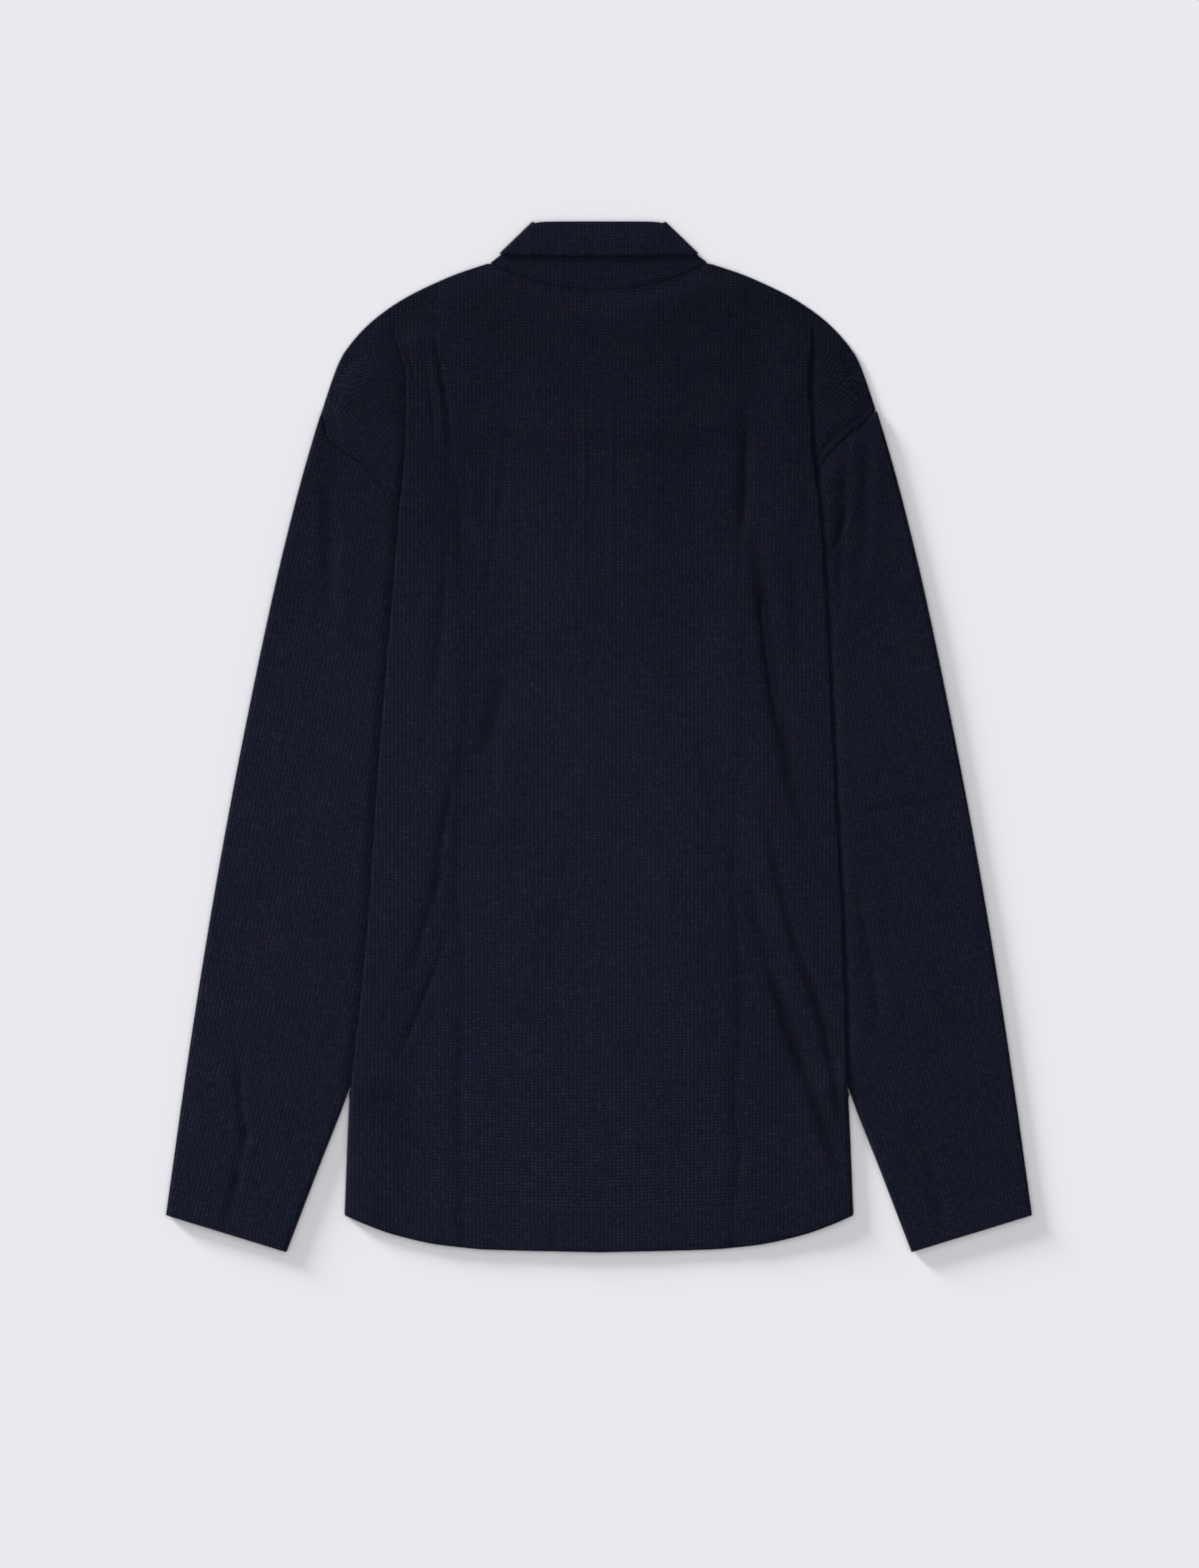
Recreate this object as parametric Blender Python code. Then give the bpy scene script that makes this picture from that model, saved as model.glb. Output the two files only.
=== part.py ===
"""Long-sleeve polo shirt, laid flat on the floor with its back up.

Blender 4.5. Every size and place below is in millimetres; `cloth_wall` and `turned_button` turn them to
metres. X runs across the shirt, Y from the hem to the collar, Z up from the floor. The frame's origin is
under the middle of the shirt. "Half width" is a distance from the middle line, on either side.

The sleeves lie straight down beside the body. The back panel folds over each of them: its top layer runs
out to the body's edge, turns under there, and comes back in to the armhole or side seam.
"""

import math
from collections import namedtuple

import bmesh
import bpy
import numpy as np

MM = 0.001

# ---- cloth ----
CLOTH = 1.2
SEAM_GAP = 0.3
PITCH = CLOTH + SEAM_GAP  # from the middle of one layer to the middle of the next
FOLD_RADIUS = PITCH / 2
FOLD_REACH = FOLD_RADIUS + CLOTH / 2  # from a fold's centre line to its outer edge
LAYER_1 = CLOTH / 2  # middle of the layer that lies on the floor
LAYER_2 = LAYER_1 + PITCH
LAYER_3 = LAYER_2 + PITCH
BACK_EASE = 0.1  # how much looser the back lies over the front than a seam

# ---- outline ----
Station = namedtuple("Station", "y half_width")
OUTER_EDGE = [  # shoulder, then the outer edge of the sleeve down to the cuff
    Station(364.6, 84.3),
    Station(355.4, 111.7),
    Station(346.1, 133.2),
    Station(336.9, 150.9),
    Station(321.5, 172.9),
    Station(306.1, 188.3),
    Station(290.7, 199.0),
    Station(275.3, 205.2),
    Station(244.5, 215.2),
    Station(198.3, 228.7),
    Station(152.1, 240.6),
    Station(105.9, 251.4),
    Station(13.5, 270.7),
    Station(-78.9, 288.4),
    Station(-171.3, 304.2),
    Station(-263.7, 318.4),
    Station(-367.7, 333.0),
]
SLEEVE_INNER_EDGE = [  # from the underarm, under the body, out at its edge, to the cuff
    Station(75.1, 111.3),
    Station(-30.0, 131.0),
    Station(-130.0, 153.0),
    Station(-210.0, 173.0),
    Station(-274.5, 193.3),
    Station(-333.0, 216.0),
    Station(-396.2, 240.2),
]
HEM_EDGE = [  # the hem's curve, corner to middle
    Station(-367.7, 196.0),
    Station(-375.4, 178.3),
    Station(-383.1, 156.7),
    Station(-390.8, 122.0),
    Station(-394.6, 81.6),
    Station(-396.5, 0.0),
]
UNDERARM = SLEEVE_INNER_EDGE[0]
GAP_TOP = SLEEVE_INNER_EDGE[4]  # where the sleeve comes out from under the body
HEM_CORNER = HEM_EDGE[0]

# ---- each side has its own seam and folds ----
Side = namedtuple("Side", "name sign armhole body_edge pressed_fold")
LEFT = Side(
    name="left",
    sign=-1,
    armhole=[
        Station(249.0, 213.4),
        Station(231.2, 208.9),
        Station(206.7, 178.3),
        Station(191.3, 165.2),
        Station(174.4, 152.1),
        Station(75.1, 111.3),
    ],
    body_edge=[
        Station(345.0, 162.0),
        Station(311.5, 157.1),
        Station(273.7, 148.5),
        Station(225.2, 149.2),
        Station(170.6, 154.0),
        Station(111.3, 158.8),
        Station(35.8, 165.2),
        Station(-45.0, 171.6),
        Station(-125.9, 176.6),
        Station(-191.3, 182.5),
        Station(-261.4, 189.6),
        Station(-279.1, 192.1),
        Station(-367.7, 196.0),
    ],
    pressed_fold=[Station(200.0, 107.0), Station(-367.7, 107.0)],
)
RIGHT = Side(
    name="right",
    sign=1,
    armhole=[
        Station(250.6, 212.9),
        Station(239.1, 199.8),
        Station(225.2, 183.6),
        Station(212.9, 172.9),
        Station(205.2, 166.7),
        Station(75.1, 111.3),
    ],
    body_edge=[
        Station(345.0, 167.0),
        Station(311.5, 164.3),
        Station(273.7, 161.9),
        Station(225.2, 164.3),
        Station(170.6, 170.5),
        Station(111.3, 174.6),
        Station(35.8, 178.2),
        Station(-45.0, 182.2),
        Station(-125.9, 186.6),
        Station(-207.5, 189.7),
        Station(-272.2, 191.5),
        Station(-279.1, 192.1),
        Station(-367.7, 196.0),
    ],
    pressed_fold=[
        Station(225.2, 112.8),
        Station(132.8, 109.0),
        Station(-32.7, 106.7),
        Station(-180.6, 109.0),
        Station(-367.7, 104.0),
    ],
)
SIDES = (LEFT, RIGHT)
PRESSED_FOLD_HEIGHT = 1.0
PRESSED_FOLD_REACH = 9.0
PRESSED_FOLD_FADE = 40.0  # it rises over this height at its upper end

# ---- the long fold of the back over each sleeve ----
FOLD_START = 318.0  # it opens below here
FOLD_OPENING = 30.0  # and is turned right under this much lower
FOLD_CLOSING = 25.0  # at its lower end it closes over this height, down to the top of the gap
SMALLEST_TUCK = 0.5  # how far it turns under at its upper end
SHOULDER_TUCK = 8.0  # and beside the shoulder
TUCK_OPENING = (25.0, 60.0)  # below its start, where the tuck begins to widen, and over what height
SHOULDER_END = 130.0  # below here the return runs straight in to the armhole or side seam
SECOND_TURN_EASE = 8.0  # how much longer a return gets while its second turn opens out
RETURN_DROP = (2.0, 28.0)  # below the top of the gap, where the return sinks to the front, and over what height
SMALLEST_RETURN = 1.5
SMALLEST_TURN = 0.8  # a turn that is not bent yet still takes this much cloth
SMALLEST_TAIL = 0.4
UNFOLDED_EDGE = 2 * SMALLEST_TURN + SMALLEST_RETURN + SMALLEST_TAIL  # what lies past a turn that is not bent
FOLD_SLOPE = 45.0  # width of the slope from the folded edge down to the middle
SLOPE_MARGIN = 3.0

# ---- the front's rise to the side seam, which lies on the sleeve's inner edge ----
FRONT_RISE_WIDTH = 12.0
FRONT_RISE_UPPER = 20.0  # it begins over this height below the underarm
FRONT_RISE_LOWER = 26.0  # and ends over this height
FRONT_RISE_END = GAP_TOP.y - 28.0

# ---- neck and collar ----
NECK_HALF_WIDTH = OUTER_EDGE[0].half_width
NECK_SIDE_Y = OUTER_EDGE[0].y
BACK_NECK_Y = 343.4
FRONT_NECK_Y = 290.7
NECK_CURVE = 2.2  # power of the neck curves
COLLAR_TOP_Y = 396.7
COLLAR_TOP_HALF_WIDTH = 51.6
FRONT_FOLD_Y = 318.0  # where the collar's fold line meets the centre front
COLLAR_CORE = (LAYER_2 + LAYER_3) / 2  # the level that stand and leaf wrap round
STAND_RADIUS = FOLD_RADIUS
LEAF_RADIUS = STAND_RADIUS + PITCH
COLLAR_SIDE_LENGTH = math.hypot(NECK_HALF_WIDTH - COLLAR_TOP_HALF_WIDTH, COLLAR_TOP_Y - NECK_SIDE_Y)
COLLAR_SIDE_OUTWARD = (  # square to the collar's slanted side
    (COLLAR_TOP_Y - NECK_SIDE_Y) / COLLAR_SIDE_LENGTH,
    (NECK_HALF_WIDTH - COLLAR_TOP_HALF_WIDTH) / COLLAR_SIDE_LENGTH,
)
COLLAR_SIDE_REACH = (LEAF_RADIUS + CLOTH / 2) / COLLAR_SIDE_OUTWARD[0]
COLLAR_CORNER = (49.9, 393.1)  # the fold's core at the top corners
BACK_FOLD_CURVE = 12  # power: straight across, then round at the corners
LEAF_SEAM = 0.6  # straight cloth between the leaf's turn and its seam to the stand
LEAF_BACK_EDGE_Y = 369.5
LeafEdge = namedtuple("LeafEdge", "share half_width y")  # share 1 at the side, 0 at centre front
LEAF_FRONT_EDGE = [
    LeafEdge(1.0, 78.3, 370.5),
    LeafEdge(0.8, 85.0, 340.0),
    LeafEdge(0.6, 82.0, 311.0),
    LeafEdge(0.33, 60.0, 262.0),
    LeafEdge(0.15, 30.0, 277.0),
    LeafEdge(0.0, 3.0, 293.0),
]
COLLAR_ZONE_Y = (225.0, 250.0)  # the panels rise over the leaf between these
COLLAR_ZONE_X = (92.0, 118.0)
BACK_ZONE_SHARE = 0.93  # the back's rise over the leaf is this much wider than the front's
BACK_ZONE_DROP = 8.0  # and starts this much lower

# ---- placket and buttons ----
PLACKET_HALF_WIDTH = 12.7
PLACKET_SLOT = PLACKET_HALF_WIDTH + SEAM_GAP
PLACKET_END_Y = 120.0
STRIP_PITCH = PITCH + 0.3  # the strips lie a little looser on each other than the panels
Button = namedtuple("Button", "name y")
BUTTONS = [Button("top", 268.0), Button("middle", 208.0), Button("bottom", 148.0)]
BUTTON_RADIUS = 5.5
BUTTON_THICKNESS = 1.5
BUTTON_RIM = 1.1
BUTTON_DISH = 0.45
BULGE_REACH = (6.0, 12.6)  # a strip over a button is raised within the first, level past the second
BACK_BULGE_ACROSS = (12.0, 14.0)  # the back over a button: how far it stays raised, then its slope
BACK_BULGE_ALONG = (15.0, 17.0)
OVER_PLACKET_HALF_WIDTH = 26.0  # the back's rise over the strips
OVER_PLACKET_END_Y = PLACKET_END_Y - 20.0
OVER_PLACKET_SLOPE = (12.0, 18.0)  # its slope to the sides, and below

# ---- divisions ----
TURN_STEPS = 3
RUN_STEPS = 2
BACK_COLUMNS = (0, 13, 26, 50, 66, 75, NECK_HALF_WIDTH)  # then three on the pressed fold
COLUMNS_TO_FOLD = (0.35, 0.68, 1.0)  # shares of the way from there to the long fold
FRONT_COLUMNS = (PLACKET_SLOT, 26, 45, 66, NECK_HALF_WIDTH)
BODY_ROWS = [
    296.3, 284.0, 272.0, 261.0, 250.6, 242.0, 232.9, 228.0, 220.0, 210.0, 200.0, 189.0, 176.0, 162.0,
    147.0, 132.0, 120.0, 100.0, 75.1, 45.0, 10.0, -30.0, -75.0, -120.0, -165.0, -205.0, -235.0, -255.0,
    -266.0, -274.5, -284.0, -298.0, -318.0, -345.0, -367.7,
]  # fmt: skip
SHOULDER_ROWS_END = 190.0  # rows bend to the shoulders above here
HEM_ROWS_START = -150.0  # and to the hem below here
SLEEVE_ROWS = 18
SLEEVE_ROW_POWER = 1.25  # rows lie closer by the armhole
SLEEVE_COLUMNS = (  # shares of the way from the outer to the inner fold
    0, 0.019, 0.038, 0.08, 0.14, 0.25, 0.38, 0.52, 0.68, 0.84, 1,
)  # fmt: skip
ARMHOLE_BOW_END = 0.45  # share of the sleeve over which its rows straighten from the armhole's curve
ARMHOLE_SHIFT = 0.45  # the sleeve stands this much off the armhole, outwards and down
COLLAR_FRONT_SHARES = (0.012, 0.15, 0.33, 0.5, 0.7, 0.88, 1.0)
COLLAR_BACK_SHARES = (1.0, 0.97, 0.93, 0.87, 0.75, 0.4)
STAND_ROWS = (1.0, 0.66, 0.33, 0.0)
LEAF_ROWS = (0.25, 0.5, 0.75, 1.0)
STRIP_COLUMNS = 7
ROWS_NEAR_BUTTON = (12.6, 9.4, 6.2, 0.0, -6.2, -9.4, -12.6)
BUTTON_STEPS = 16
SAMPLES = 240  # points on a smooth line that rows are met with


# ---- curves ----
def smooth_step(value):
    """0 below 0, 1 above 1, and an even slope with soft ends between."""
    value = np.clip(value, 0.0, 1.0)
    return value * value * (3 - 2 * value)


def smooth_line(places, values, at):
    """Values at `at` on a curve through the given points that never overshoots them."""
    places, values = np.asarray(places, float), np.asarray(values, float)
    if places[0] > places[-1]:
        places, values = places[::-1], values[::-1]
    step = np.diff(places)
    rise = np.diff(values) / step
    slope = np.zeros(len(places))
    same_way = rise[:-1] * rise[1:] > 0
    mean = 2 * rise[:-1] * rise[1:] / np.where(same_way, rise[:-1] + rise[1:], 1.0)
    slope[1:-1] = np.where(same_way, mean, 0.0)
    slope[0], slope[-1] = rise[0], rise[-1]
    at = np.clip(at, places[0], places[-1])
    k = np.clip(np.searchsorted(places, at) - 1, 0, len(step) - 1)
    t = (at - places[k]) / step[k]
    before, after = values[k], values[k + 1]
    return (
        before * (1 + 2 * t) * (1 - t) ** 2
        + after * t * t * (3 - 2 * t)
        + step[k] * (slope[k] * t * (1 - t) ** 2 - slope[k + 1] * t * t * (1 - t))
    )


def half_width_at(stations, y):
    return smooth_line([s.y for s in stations], [s.half_width for s in stations], y)


def y_at(stations, half_width):
    return smooth_line([s.half_width for s in stations], [s.y for s in stations], half_width)


def points_down(stations, top, bottom, count=SAMPLES):
    """Points (half width, y) on a smooth edge between two heights."""
    y = np.linspace(top, bottom, count)
    return np.column_stack([half_width_at(stations, y), y])


def armhole_points(side):
    """The armhole seam from the outer edge down to the underarm."""
    outer = side.armhole[0]
    half_width = np.linspace(outer.half_width, UNDERARM.half_width, SAMPLES)
    return np.column_stack([half_width, y_at(side.armhole[::-1], half_width)])


def side_seam_points():
    """The side seam: along the hidden inner edge of the sleeve, then down the body's own edge."""
    beside_sleeve = points_down(SLEEVE_INNER_EDGE, UNDERARM.y, GAP_TOP.y)
    beside_sleeve[:, 0] -= 2 * SEAM_GAP
    below = [Station(GAP_TOP.y - 4.6, 192.1), HEM_CORNER]
    return np.vstack([beside_sleeve, points_down(below, below[0].y, HEM_CORNER.y)])


def panel_edge(side):
    """The whole outer edge of the front or back: shoulder, armhole seam, side seam."""
    shoulder = points_down(OUTER_EDGE, BODY_ROWS[0], side.armhole[0].y)
    return np.vstack([shoulder, armhole_points(side), side_seam_points()])


# ---- rows of the body's panels ----
TOP_ROW_HALF_WIDTH = float(half_width_at(OUTER_EDGE, BODY_ROWS[0]))


def back_top(x):
    """The back's upper edge: neck seam in the middle, shoulder outside it."""
    neck = BACK_NECK_Y + (NECK_SIDE_Y - BACK_NECK_Y) * np.abs(x / NECK_HALF_WIDTH) ** NECK_CURVE
    return np.where(np.abs(x) < NECK_HALF_WIDTH, neck, y_at(OUTER_EDGE, np.abs(x)))


def front_top(x):
    neck = FRONT_NECK_Y + (NECK_SIDE_Y - FRONT_NECK_Y) * np.abs(x / NECK_HALF_WIDTH) ** NECK_CURVE
    return np.where(np.abs(x) < NECK_HALF_WIDTH, neck, y_at(OUTER_EDGE, np.abs(x)))


def row_y(row, top_edge, x):
    """Height of a row at x: the upper rows follow the top edge, the lowest ones the hem."""
    to_top = np.clip((row - SHOULDER_ROWS_END) / (BODY_ROWS[0] - SHOULDER_ROWS_END), 0, 1)
    to_hem = np.clip((row - HEM_ROWS_START) / (BODY_ROWS[-1] - HEM_ROWS_START), 0, 1)
    rise = np.where(np.abs(x) < TOP_ROW_HALF_WIDTH, top_edge(x) - BODY_ROWS[0], 0)
    drop = y_at(HEM_EDGE, np.minimum(np.abs(x), HEM_CORNER.half_width)) - HEM_CORNER.y
    return row + to_top * rise + to_hem**2 * drop


def where_row_meets(row, top_edge, line):
    """The point (half width, y) where a row crosses a line of points that runs downwards."""
    above = line[:, 1] - row_y(row, top_edge, line[:, 0])
    k = int(np.argmax(above <= 1e-9))
    if k == 0:
        return line[0] if above[0] <= 1e-9 else line[-1]
    t = above[k - 1] / (above[k - 1] - above[k])
    return line[k - 1] + t * (line[k] - line[k - 1])


# ---- levels ----
def collar_zone(x, y):
    """1 where the collar leaf lies under the panels, 0 away from it."""
    low, high = COLLAR_ZONE_Y
    inner, outer = COLLAR_ZONE_X
    return smooth_step((y - low) / (high - low)) * (1 - smooth_step((abs(x) - inner) / (outer - inner)))


def front_level(x, y):
    return LAYER_1 + PITCH * collar_zone(x, y)


def button_bulge(x, y):
    """How far the placket strips rise over the buttons."""
    raised = 0.0
    inner, outer = BULGE_REACH
    for button in BUTTONS:
        clearance = BUTTON_THICKNESS + SEAM_GAP + CLOTH / 2 - front_level(0, button.y)
        distance = math.hypot(x, y - button.y)
        raised = max(raised, clearance * (1 - smooth_step((distance - inner) / (outer - inner))))
    return raised


def back_bulge(x, y):
    """The back's longer, softer rise over the same buttons."""
    raised = 0.0
    level_x, slope_x = BACK_BULGE_ACROSS
    level_y, slope_y = BACK_BULGE_ALONG
    for button in BUTTONS:
        clearance = BUTTON_THICKNESS + SEAM_GAP + CLOTH / 2 - front_level(0, button.y)
        near = 1 - smooth_step((abs(y - button.y) - level_y) / slope_y)
        near *= 1 - smooth_step((abs(x) - level_x) / slope_x)
        raised = max(raised, clearance * near)
    return raised


def pressed_fold_ridge(side, x, y):
    """The soft ridge down each side of the back where the shirt has been folded."""
    top = side.pressed_fold[0].y
    distance = abs(abs(x) - half_width_at(side.pressed_fold, y)) / PRESSED_FOLD_REACH
    return PRESSED_FOLD_HEIGHT * (1 - smooth_step(distance)) * smooth_step((top - y) / PRESSED_FOLD_FADE)


def back_level(side, x, y):
    """Middle of the back's cloth where nothing but the front lies under it."""
    beside, below = OVER_PLACKET_SLOPE
    over_placket = smooth_step((OVER_PLACKET_HALF_WIDTH - abs(x)) / beside)
    over_placket *= smooth_step((y - OVER_PLACKET_END_Y) / below)
    level = LAYER_2 + BACK_EASE + PITCH * collar_zone(x * BACK_ZONE_SHARE, y + BACK_ZONE_DROP)
    level += STRIP_PITCH * over_placket + back_bulge(x, y)
    return level + pressed_fold_ridge(side, x, y)


# ---- building ----
def cloth_wall(name, grid, material, closed=False, present=None):
    """One closed wall of cloth round a grid of points that is its middle surface.

    `closed` joins the last column to the first, as in a tube. `present` leaves out cells, for a slot.
    """
    grid = np.asarray(grid, float)
    rows, columns = grid.shape[:2]
    across = (np.roll(grid, -1, 1) - np.roll(grid, 1, 1)) if closed else np.gradient(grid, axis=1)
    normal = np.cross(np.gradient(grid, axis=0), across)
    normal /= np.linalg.norm(normal, axis=2, keepdims=True)
    cells_across = columns if closed else columns - 1
    if present is None:
        present = np.ones((rows - 1, cells_across), bool)

    shape = bmesh.new()
    corner = {}

    def vertex(i, j, face):
        key = (i, j % columns, face)
        if key not in corner:
            offset = normal[i, j % columns] * (CLOTH / 2 if face else -CLOTH / 2)
            corner[key] = shape.verts.new((grid[i, j % columns] + offset) * MM)
        return corner[key]

    def cell(i, j):
        inside = 0 <= i < rows - 1 and (closed or 0 <= j < cells_across)
        return inside and present[i, j % cells_across]

    for i in range(rows - 1):
        for j in range(cells_across):
            if not cell(i, j):
                continue
            loop = [(i, j), (i + 1, j), (i + 1, j + 1), (i, j + 1)]
            shape.faces.new([vertex(a, b, True) for a, b in loop])
            shape.faces.new([vertex(a, b, False) for a, b in reversed(loop)])
            beyond = [cell(i, j - 1), cell(i + 1, j), cell(i, j + 1), cell(i - 1, j)]
            for k, covered in enumerate(beyond):
                if not covered:
                    start, end = loop[k], loop[(k + 1) % 4]
                    rim = [vertex(*start, True), vertex(*start, False), vertex(*end, False), vertex(*end, True)]
                    shape.faces.new(rim)
    bmesh.ops.triangulate(shape, faces=shape.faces)
    bmesh.ops.recalc_face_normals(shape, faces=shape.faces)
    return finished(name, shape, material)


def finished(name, shape, material):
    mesh = bpy.data.meshes.new(name)
    shape.to_mesh(mesh)
    shape.free()
    mesh.shade_smooth()
    mesh.set_sharp_from_angle(angle=math.radians(40))
    mesh.materials.append(material)
    piece = bpy.data.objects.new(name, mesh)
    bpy.context.collection.objects.link(piece)
    return piece


def finish(name, colour, roughness):
    material = bpy.data.materials.new(name)
    material.use_nodes = True
    shader = material.node_tree.nodes["Principled BSDF"]
    shader.inputs["Base Color"].default_value = (*colour, 1)
    shader.inputs["Roughness"].default_value = roughness
    return material


# ---- back ----
def turn_length(turn):
    """Cloth that a turn through this angle takes."""
    return max(FOLD_RADIUS * turn, SMALLEST_TURN)


def folded_section(side, row):
    """One side of a row of the back, from the middle out: points (half width, y, level).

    The path runs out along the top layer, turns under at the body's edge, runs back in, and where the
    armhole seam lies further out it turns again and runs out to the seam.
    """
    edge_line = np.array([(s.half_width, s.y) for s in side.body_edge])
    fine_y = np.linspace(edge_line[0, 1], edge_line[-1, 1], SAMPLES)
    edge_line = np.column_stack([half_width_at(side.body_edge, fine_y), fine_y])
    fold_x, fold_y = where_row_meets(row, back_top, edge_line)
    seam_x, _ = where_row_meets(row, back_top, panel_edge(side))

    opened = smooth_step((FOLD_START - fold_y) / FOLD_OPENING)
    not_closed = smooth_step((fold_y - GAP_TOP.y) / FOLD_CLOSING)
    turn = math.pi * opened * not_closed
    widening, widening_height = TUCK_OPENING
    widened = smooth_step((FOLD_START - widening - fold_y) / widening_height)
    tuck = SMALLEST_TUCK + (SHOULDER_TUCK - SMALLEST_TUCK) * widened
    below_shoulder = fold_y < SHOULDER_END
    edge_reach = FOLD_REACH
    if below_shoulder:
        edge_reach += (1 - not_closed) * (UNFOLDED_EDGE - FOLD_REACH)
    turn_start = fold_x - edge_reach
    to_seam = turn_start - seam_x
    if to_seam < tuck and not below_shoulder:
        return_length, second_turn = tuck, turn
        return_level = LAYER_2 + FOLD_RADIUS * (1 - math.cos(turn))
    else:
        return_length = max(to_seam, SMALLEST_RETURN)
        second_turn = 0.0 if below_shoulder else turn * (1 - smooth_step((to_seam - tuck) / SECOND_TURN_EASE))
        drop_start, drop_height = RETURN_DROP
        return_level = LAYER_3 - PITCH * smooth_step((GAP_TOP.y - drop_start - fold_y) / drop_height)

    first_radius = max(FOLD_RADIUS, SMALLEST_TURN / max(turn, 1e-6))
    sloping = return_length
    if second_turn == 0:
        sloping += SMALLEST_TURN + SMALLEST_TAIL
    top_level = return_level + first_radius * (1 - math.cos(turn)) + sloping * math.sin(turn)

    pressed = float(half_width_at(side.pressed_fold, fold_y))
    flat = list(BACK_COLUMNS)
    flat += [pressed - PRESSED_FOLD_REACH, pressed, pressed + PRESSED_FOLD_REACH]
    flat += [flat[-1] + share * (turn_start - flat[-1]) for share in COLUMNS_TO_FOLD]
    turned_in = return_length * (1 - math.cos(turn)) / 2
    slope_end = turn_start - max(turned_in, 0) - SLOPE_MARGIN
    section = []
    for x in flat:
        y = float(row_y(row, back_top, x))
        blend = float(smooth_step((x - slope_end + FOLD_SLOPE) / FOLD_SLOPE))
        section.append((x, y, (1 - blend) * float(back_level(side, side.sign * x, y)) + blend * top_level))

    x, level, heading = turn_start, top_level, 0.0

    def laid(length, bend, steps):
        """Adds points along a length of cloth that bends evenly by an angle, down and inwards."""
        nonlocal x, level, heading
        for _ in range(steps):
            x += math.cos(heading + bend / steps / 2) * length / steps
            level -= math.sin(heading + bend / steps / 2) * length / steps
            heading += bend / steps
            section.append((x, float(row_y(row, back_top, x)), level))

    laid(turn_length(turn), turn, TURN_STEPS)
    laid(return_length, 0.0, RUN_STEPS)
    laid(turn_length(second_turn), -second_turn, TURN_STEPS)
    heads_out_again = second_turn == turn and not below_shoulder
    laid(max(seam_x - x, SMALLEST_TAIL) if heads_out_again else SMALLEST_TAIL, 0.0, RUN_STEPS)
    return section


def make_back(material):
    grid = []
    for row in BODY_ROWS:
        left = [(-x, y, z) for x, y, z in folded_section(LEFT, row)]
        right = folded_section(RIGHT, row)
        grid.append(left[:0:-1] + right)
    return cloth_wall("back", grid, material)


# ---- front ----
def make_front(material):
    """Flat on the floor, rising over the collar leaf and at the side seams, with a slot for the placket."""
    lines = {side.name: panel_edge(side) for side in SIDES}
    grid, slotted = [], []
    for row in BODY_ROWS:
        points = []
        for side in SIDES:
            seam_x, seam_y = where_row_meets(row, front_top, lines[side.name])
            rise_start = seam_x - FRONT_RISE_WIDTH
            flat = list(FRONT_COLUMNS)
            flat += [(flat[-1] + rise_start) / 2, rise_start, (rise_start + seam_x) / 2, seam_x]
            below_underarm = smooth_step((UNDERARM.y - seam_y) / FRONT_RISE_UPPER)
            beside_sleeve = below_underarm * smooth_step((seam_y - FRONT_RISE_END) / FRONT_RISE_LOWER)
            half = []
            for x in flat:
                y = float(row_y(row, front_top, x))
                rise = PITCH * beside_sleeve * smooth_step((x - rise_start) / FRONT_RISE_WIDTH)
                half.append((side.sign * x, y, front_level(x, y) + rise))
            points += half[::-1] if side is LEFT else half
        grid.append(points)
        slotted.append(row >= PLACKET_END_Y)
    middle = len(grid[0]) // 2 - 1
    present = np.ones((len(grid) - 1, len(grid[0]) - 1), bool)
    for i in range(len(grid) - 1):
        present[i, middle] = not slotted[i + 1]
    return cloth_wall("front", grid, material, present=present)


# ---- sleeves ----
def sleeve_fold_centres(side, down):
    """Plan places of a sleeve's outer and inner folds, a share `down` of the way from armhole to cuff."""
    start = side.armhole[0]
    outer_y = start.y + down * (OUTER_EDGE[-1].y - start.y)
    inner_y = UNDERARM.y + down * (SLEEVE_INNER_EDGE[-1].y - UNDERARM.y)
    outer = np.array([half_width_at(OUTER_EDGE, outer_y), outer_y])
    inner = np.array([half_width_at(SLEEVE_INNER_EDGE, inner_y), inner_y])
    along = (inner - outer) / np.linalg.norm(inner - outer)
    return outer + along * FOLD_REACH, inner - along * FOLD_REACH


def make_sleeve(side, material):
    """A flattened tube: back side, fold along the inner edge, front side, fold along the outer edge."""
    seam = armhole_points(side)
    first_outer, first_inner = sleeve_fold_centres(side, 0)
    grid = []
    for i in range(SLEEVE_ROWS + 1):
        down = (i / SLEEVE_ROWS) ** SLEEVE_ROW_POWER
        outer_centre, inner_centre = sleeve_fold_centres(side, down)
        along = (inner_centre - outer_centre) / np.linalg.norm(inner_centre - outer_centre)
        bow = 1 - smooth_step(down / ARMHOLE_BOW_END)
        drop = ARMHOLE_SHIFT if down < 1 else 0.0

        def on_row(share):
            point = outer_centre + share * (inner_centre - outer_centre)
            x, chord_y = first_outer + share * (first_inner - first_outer)
            seam_y = np.interp(-x, -seam[:, 0], seam[:, 1])
            return point + np.array([ARMHOLE_SHIFT, bow * (seam_y - chord_y) - drop])

        def turned(centre, outward, from_angle):
            turn = []
            for k in range(1, TURN_STEPS):
                angle = from_angle + math.pi * k / TURN_STEPS
                plan = centre + outward * FOLD_RADIUS * abs(math.sin(angle))
                turn.append((*plan, LAYER_1 + FOLD_RADIUS + FOLD_RADIUS * math.cos(angle)))
            return turn

        ring = [(*on_row(s), LAYER_2) for s in SLEEVE_COLUMNS]
        ring += turned(on_row(1), along, 0.0)
        ring += [(*on_row(s), LAYER_1) for s in reversed(SLEEVE_COLUMNS)]
        ring += turned(on_row(0), -along, math.pi)
        grid.append([(side.sign * x, y, z) for x, y, z in ring])
    return cloth_wall("sleeve_" + side.name, grid, material, closed=True)


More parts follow.
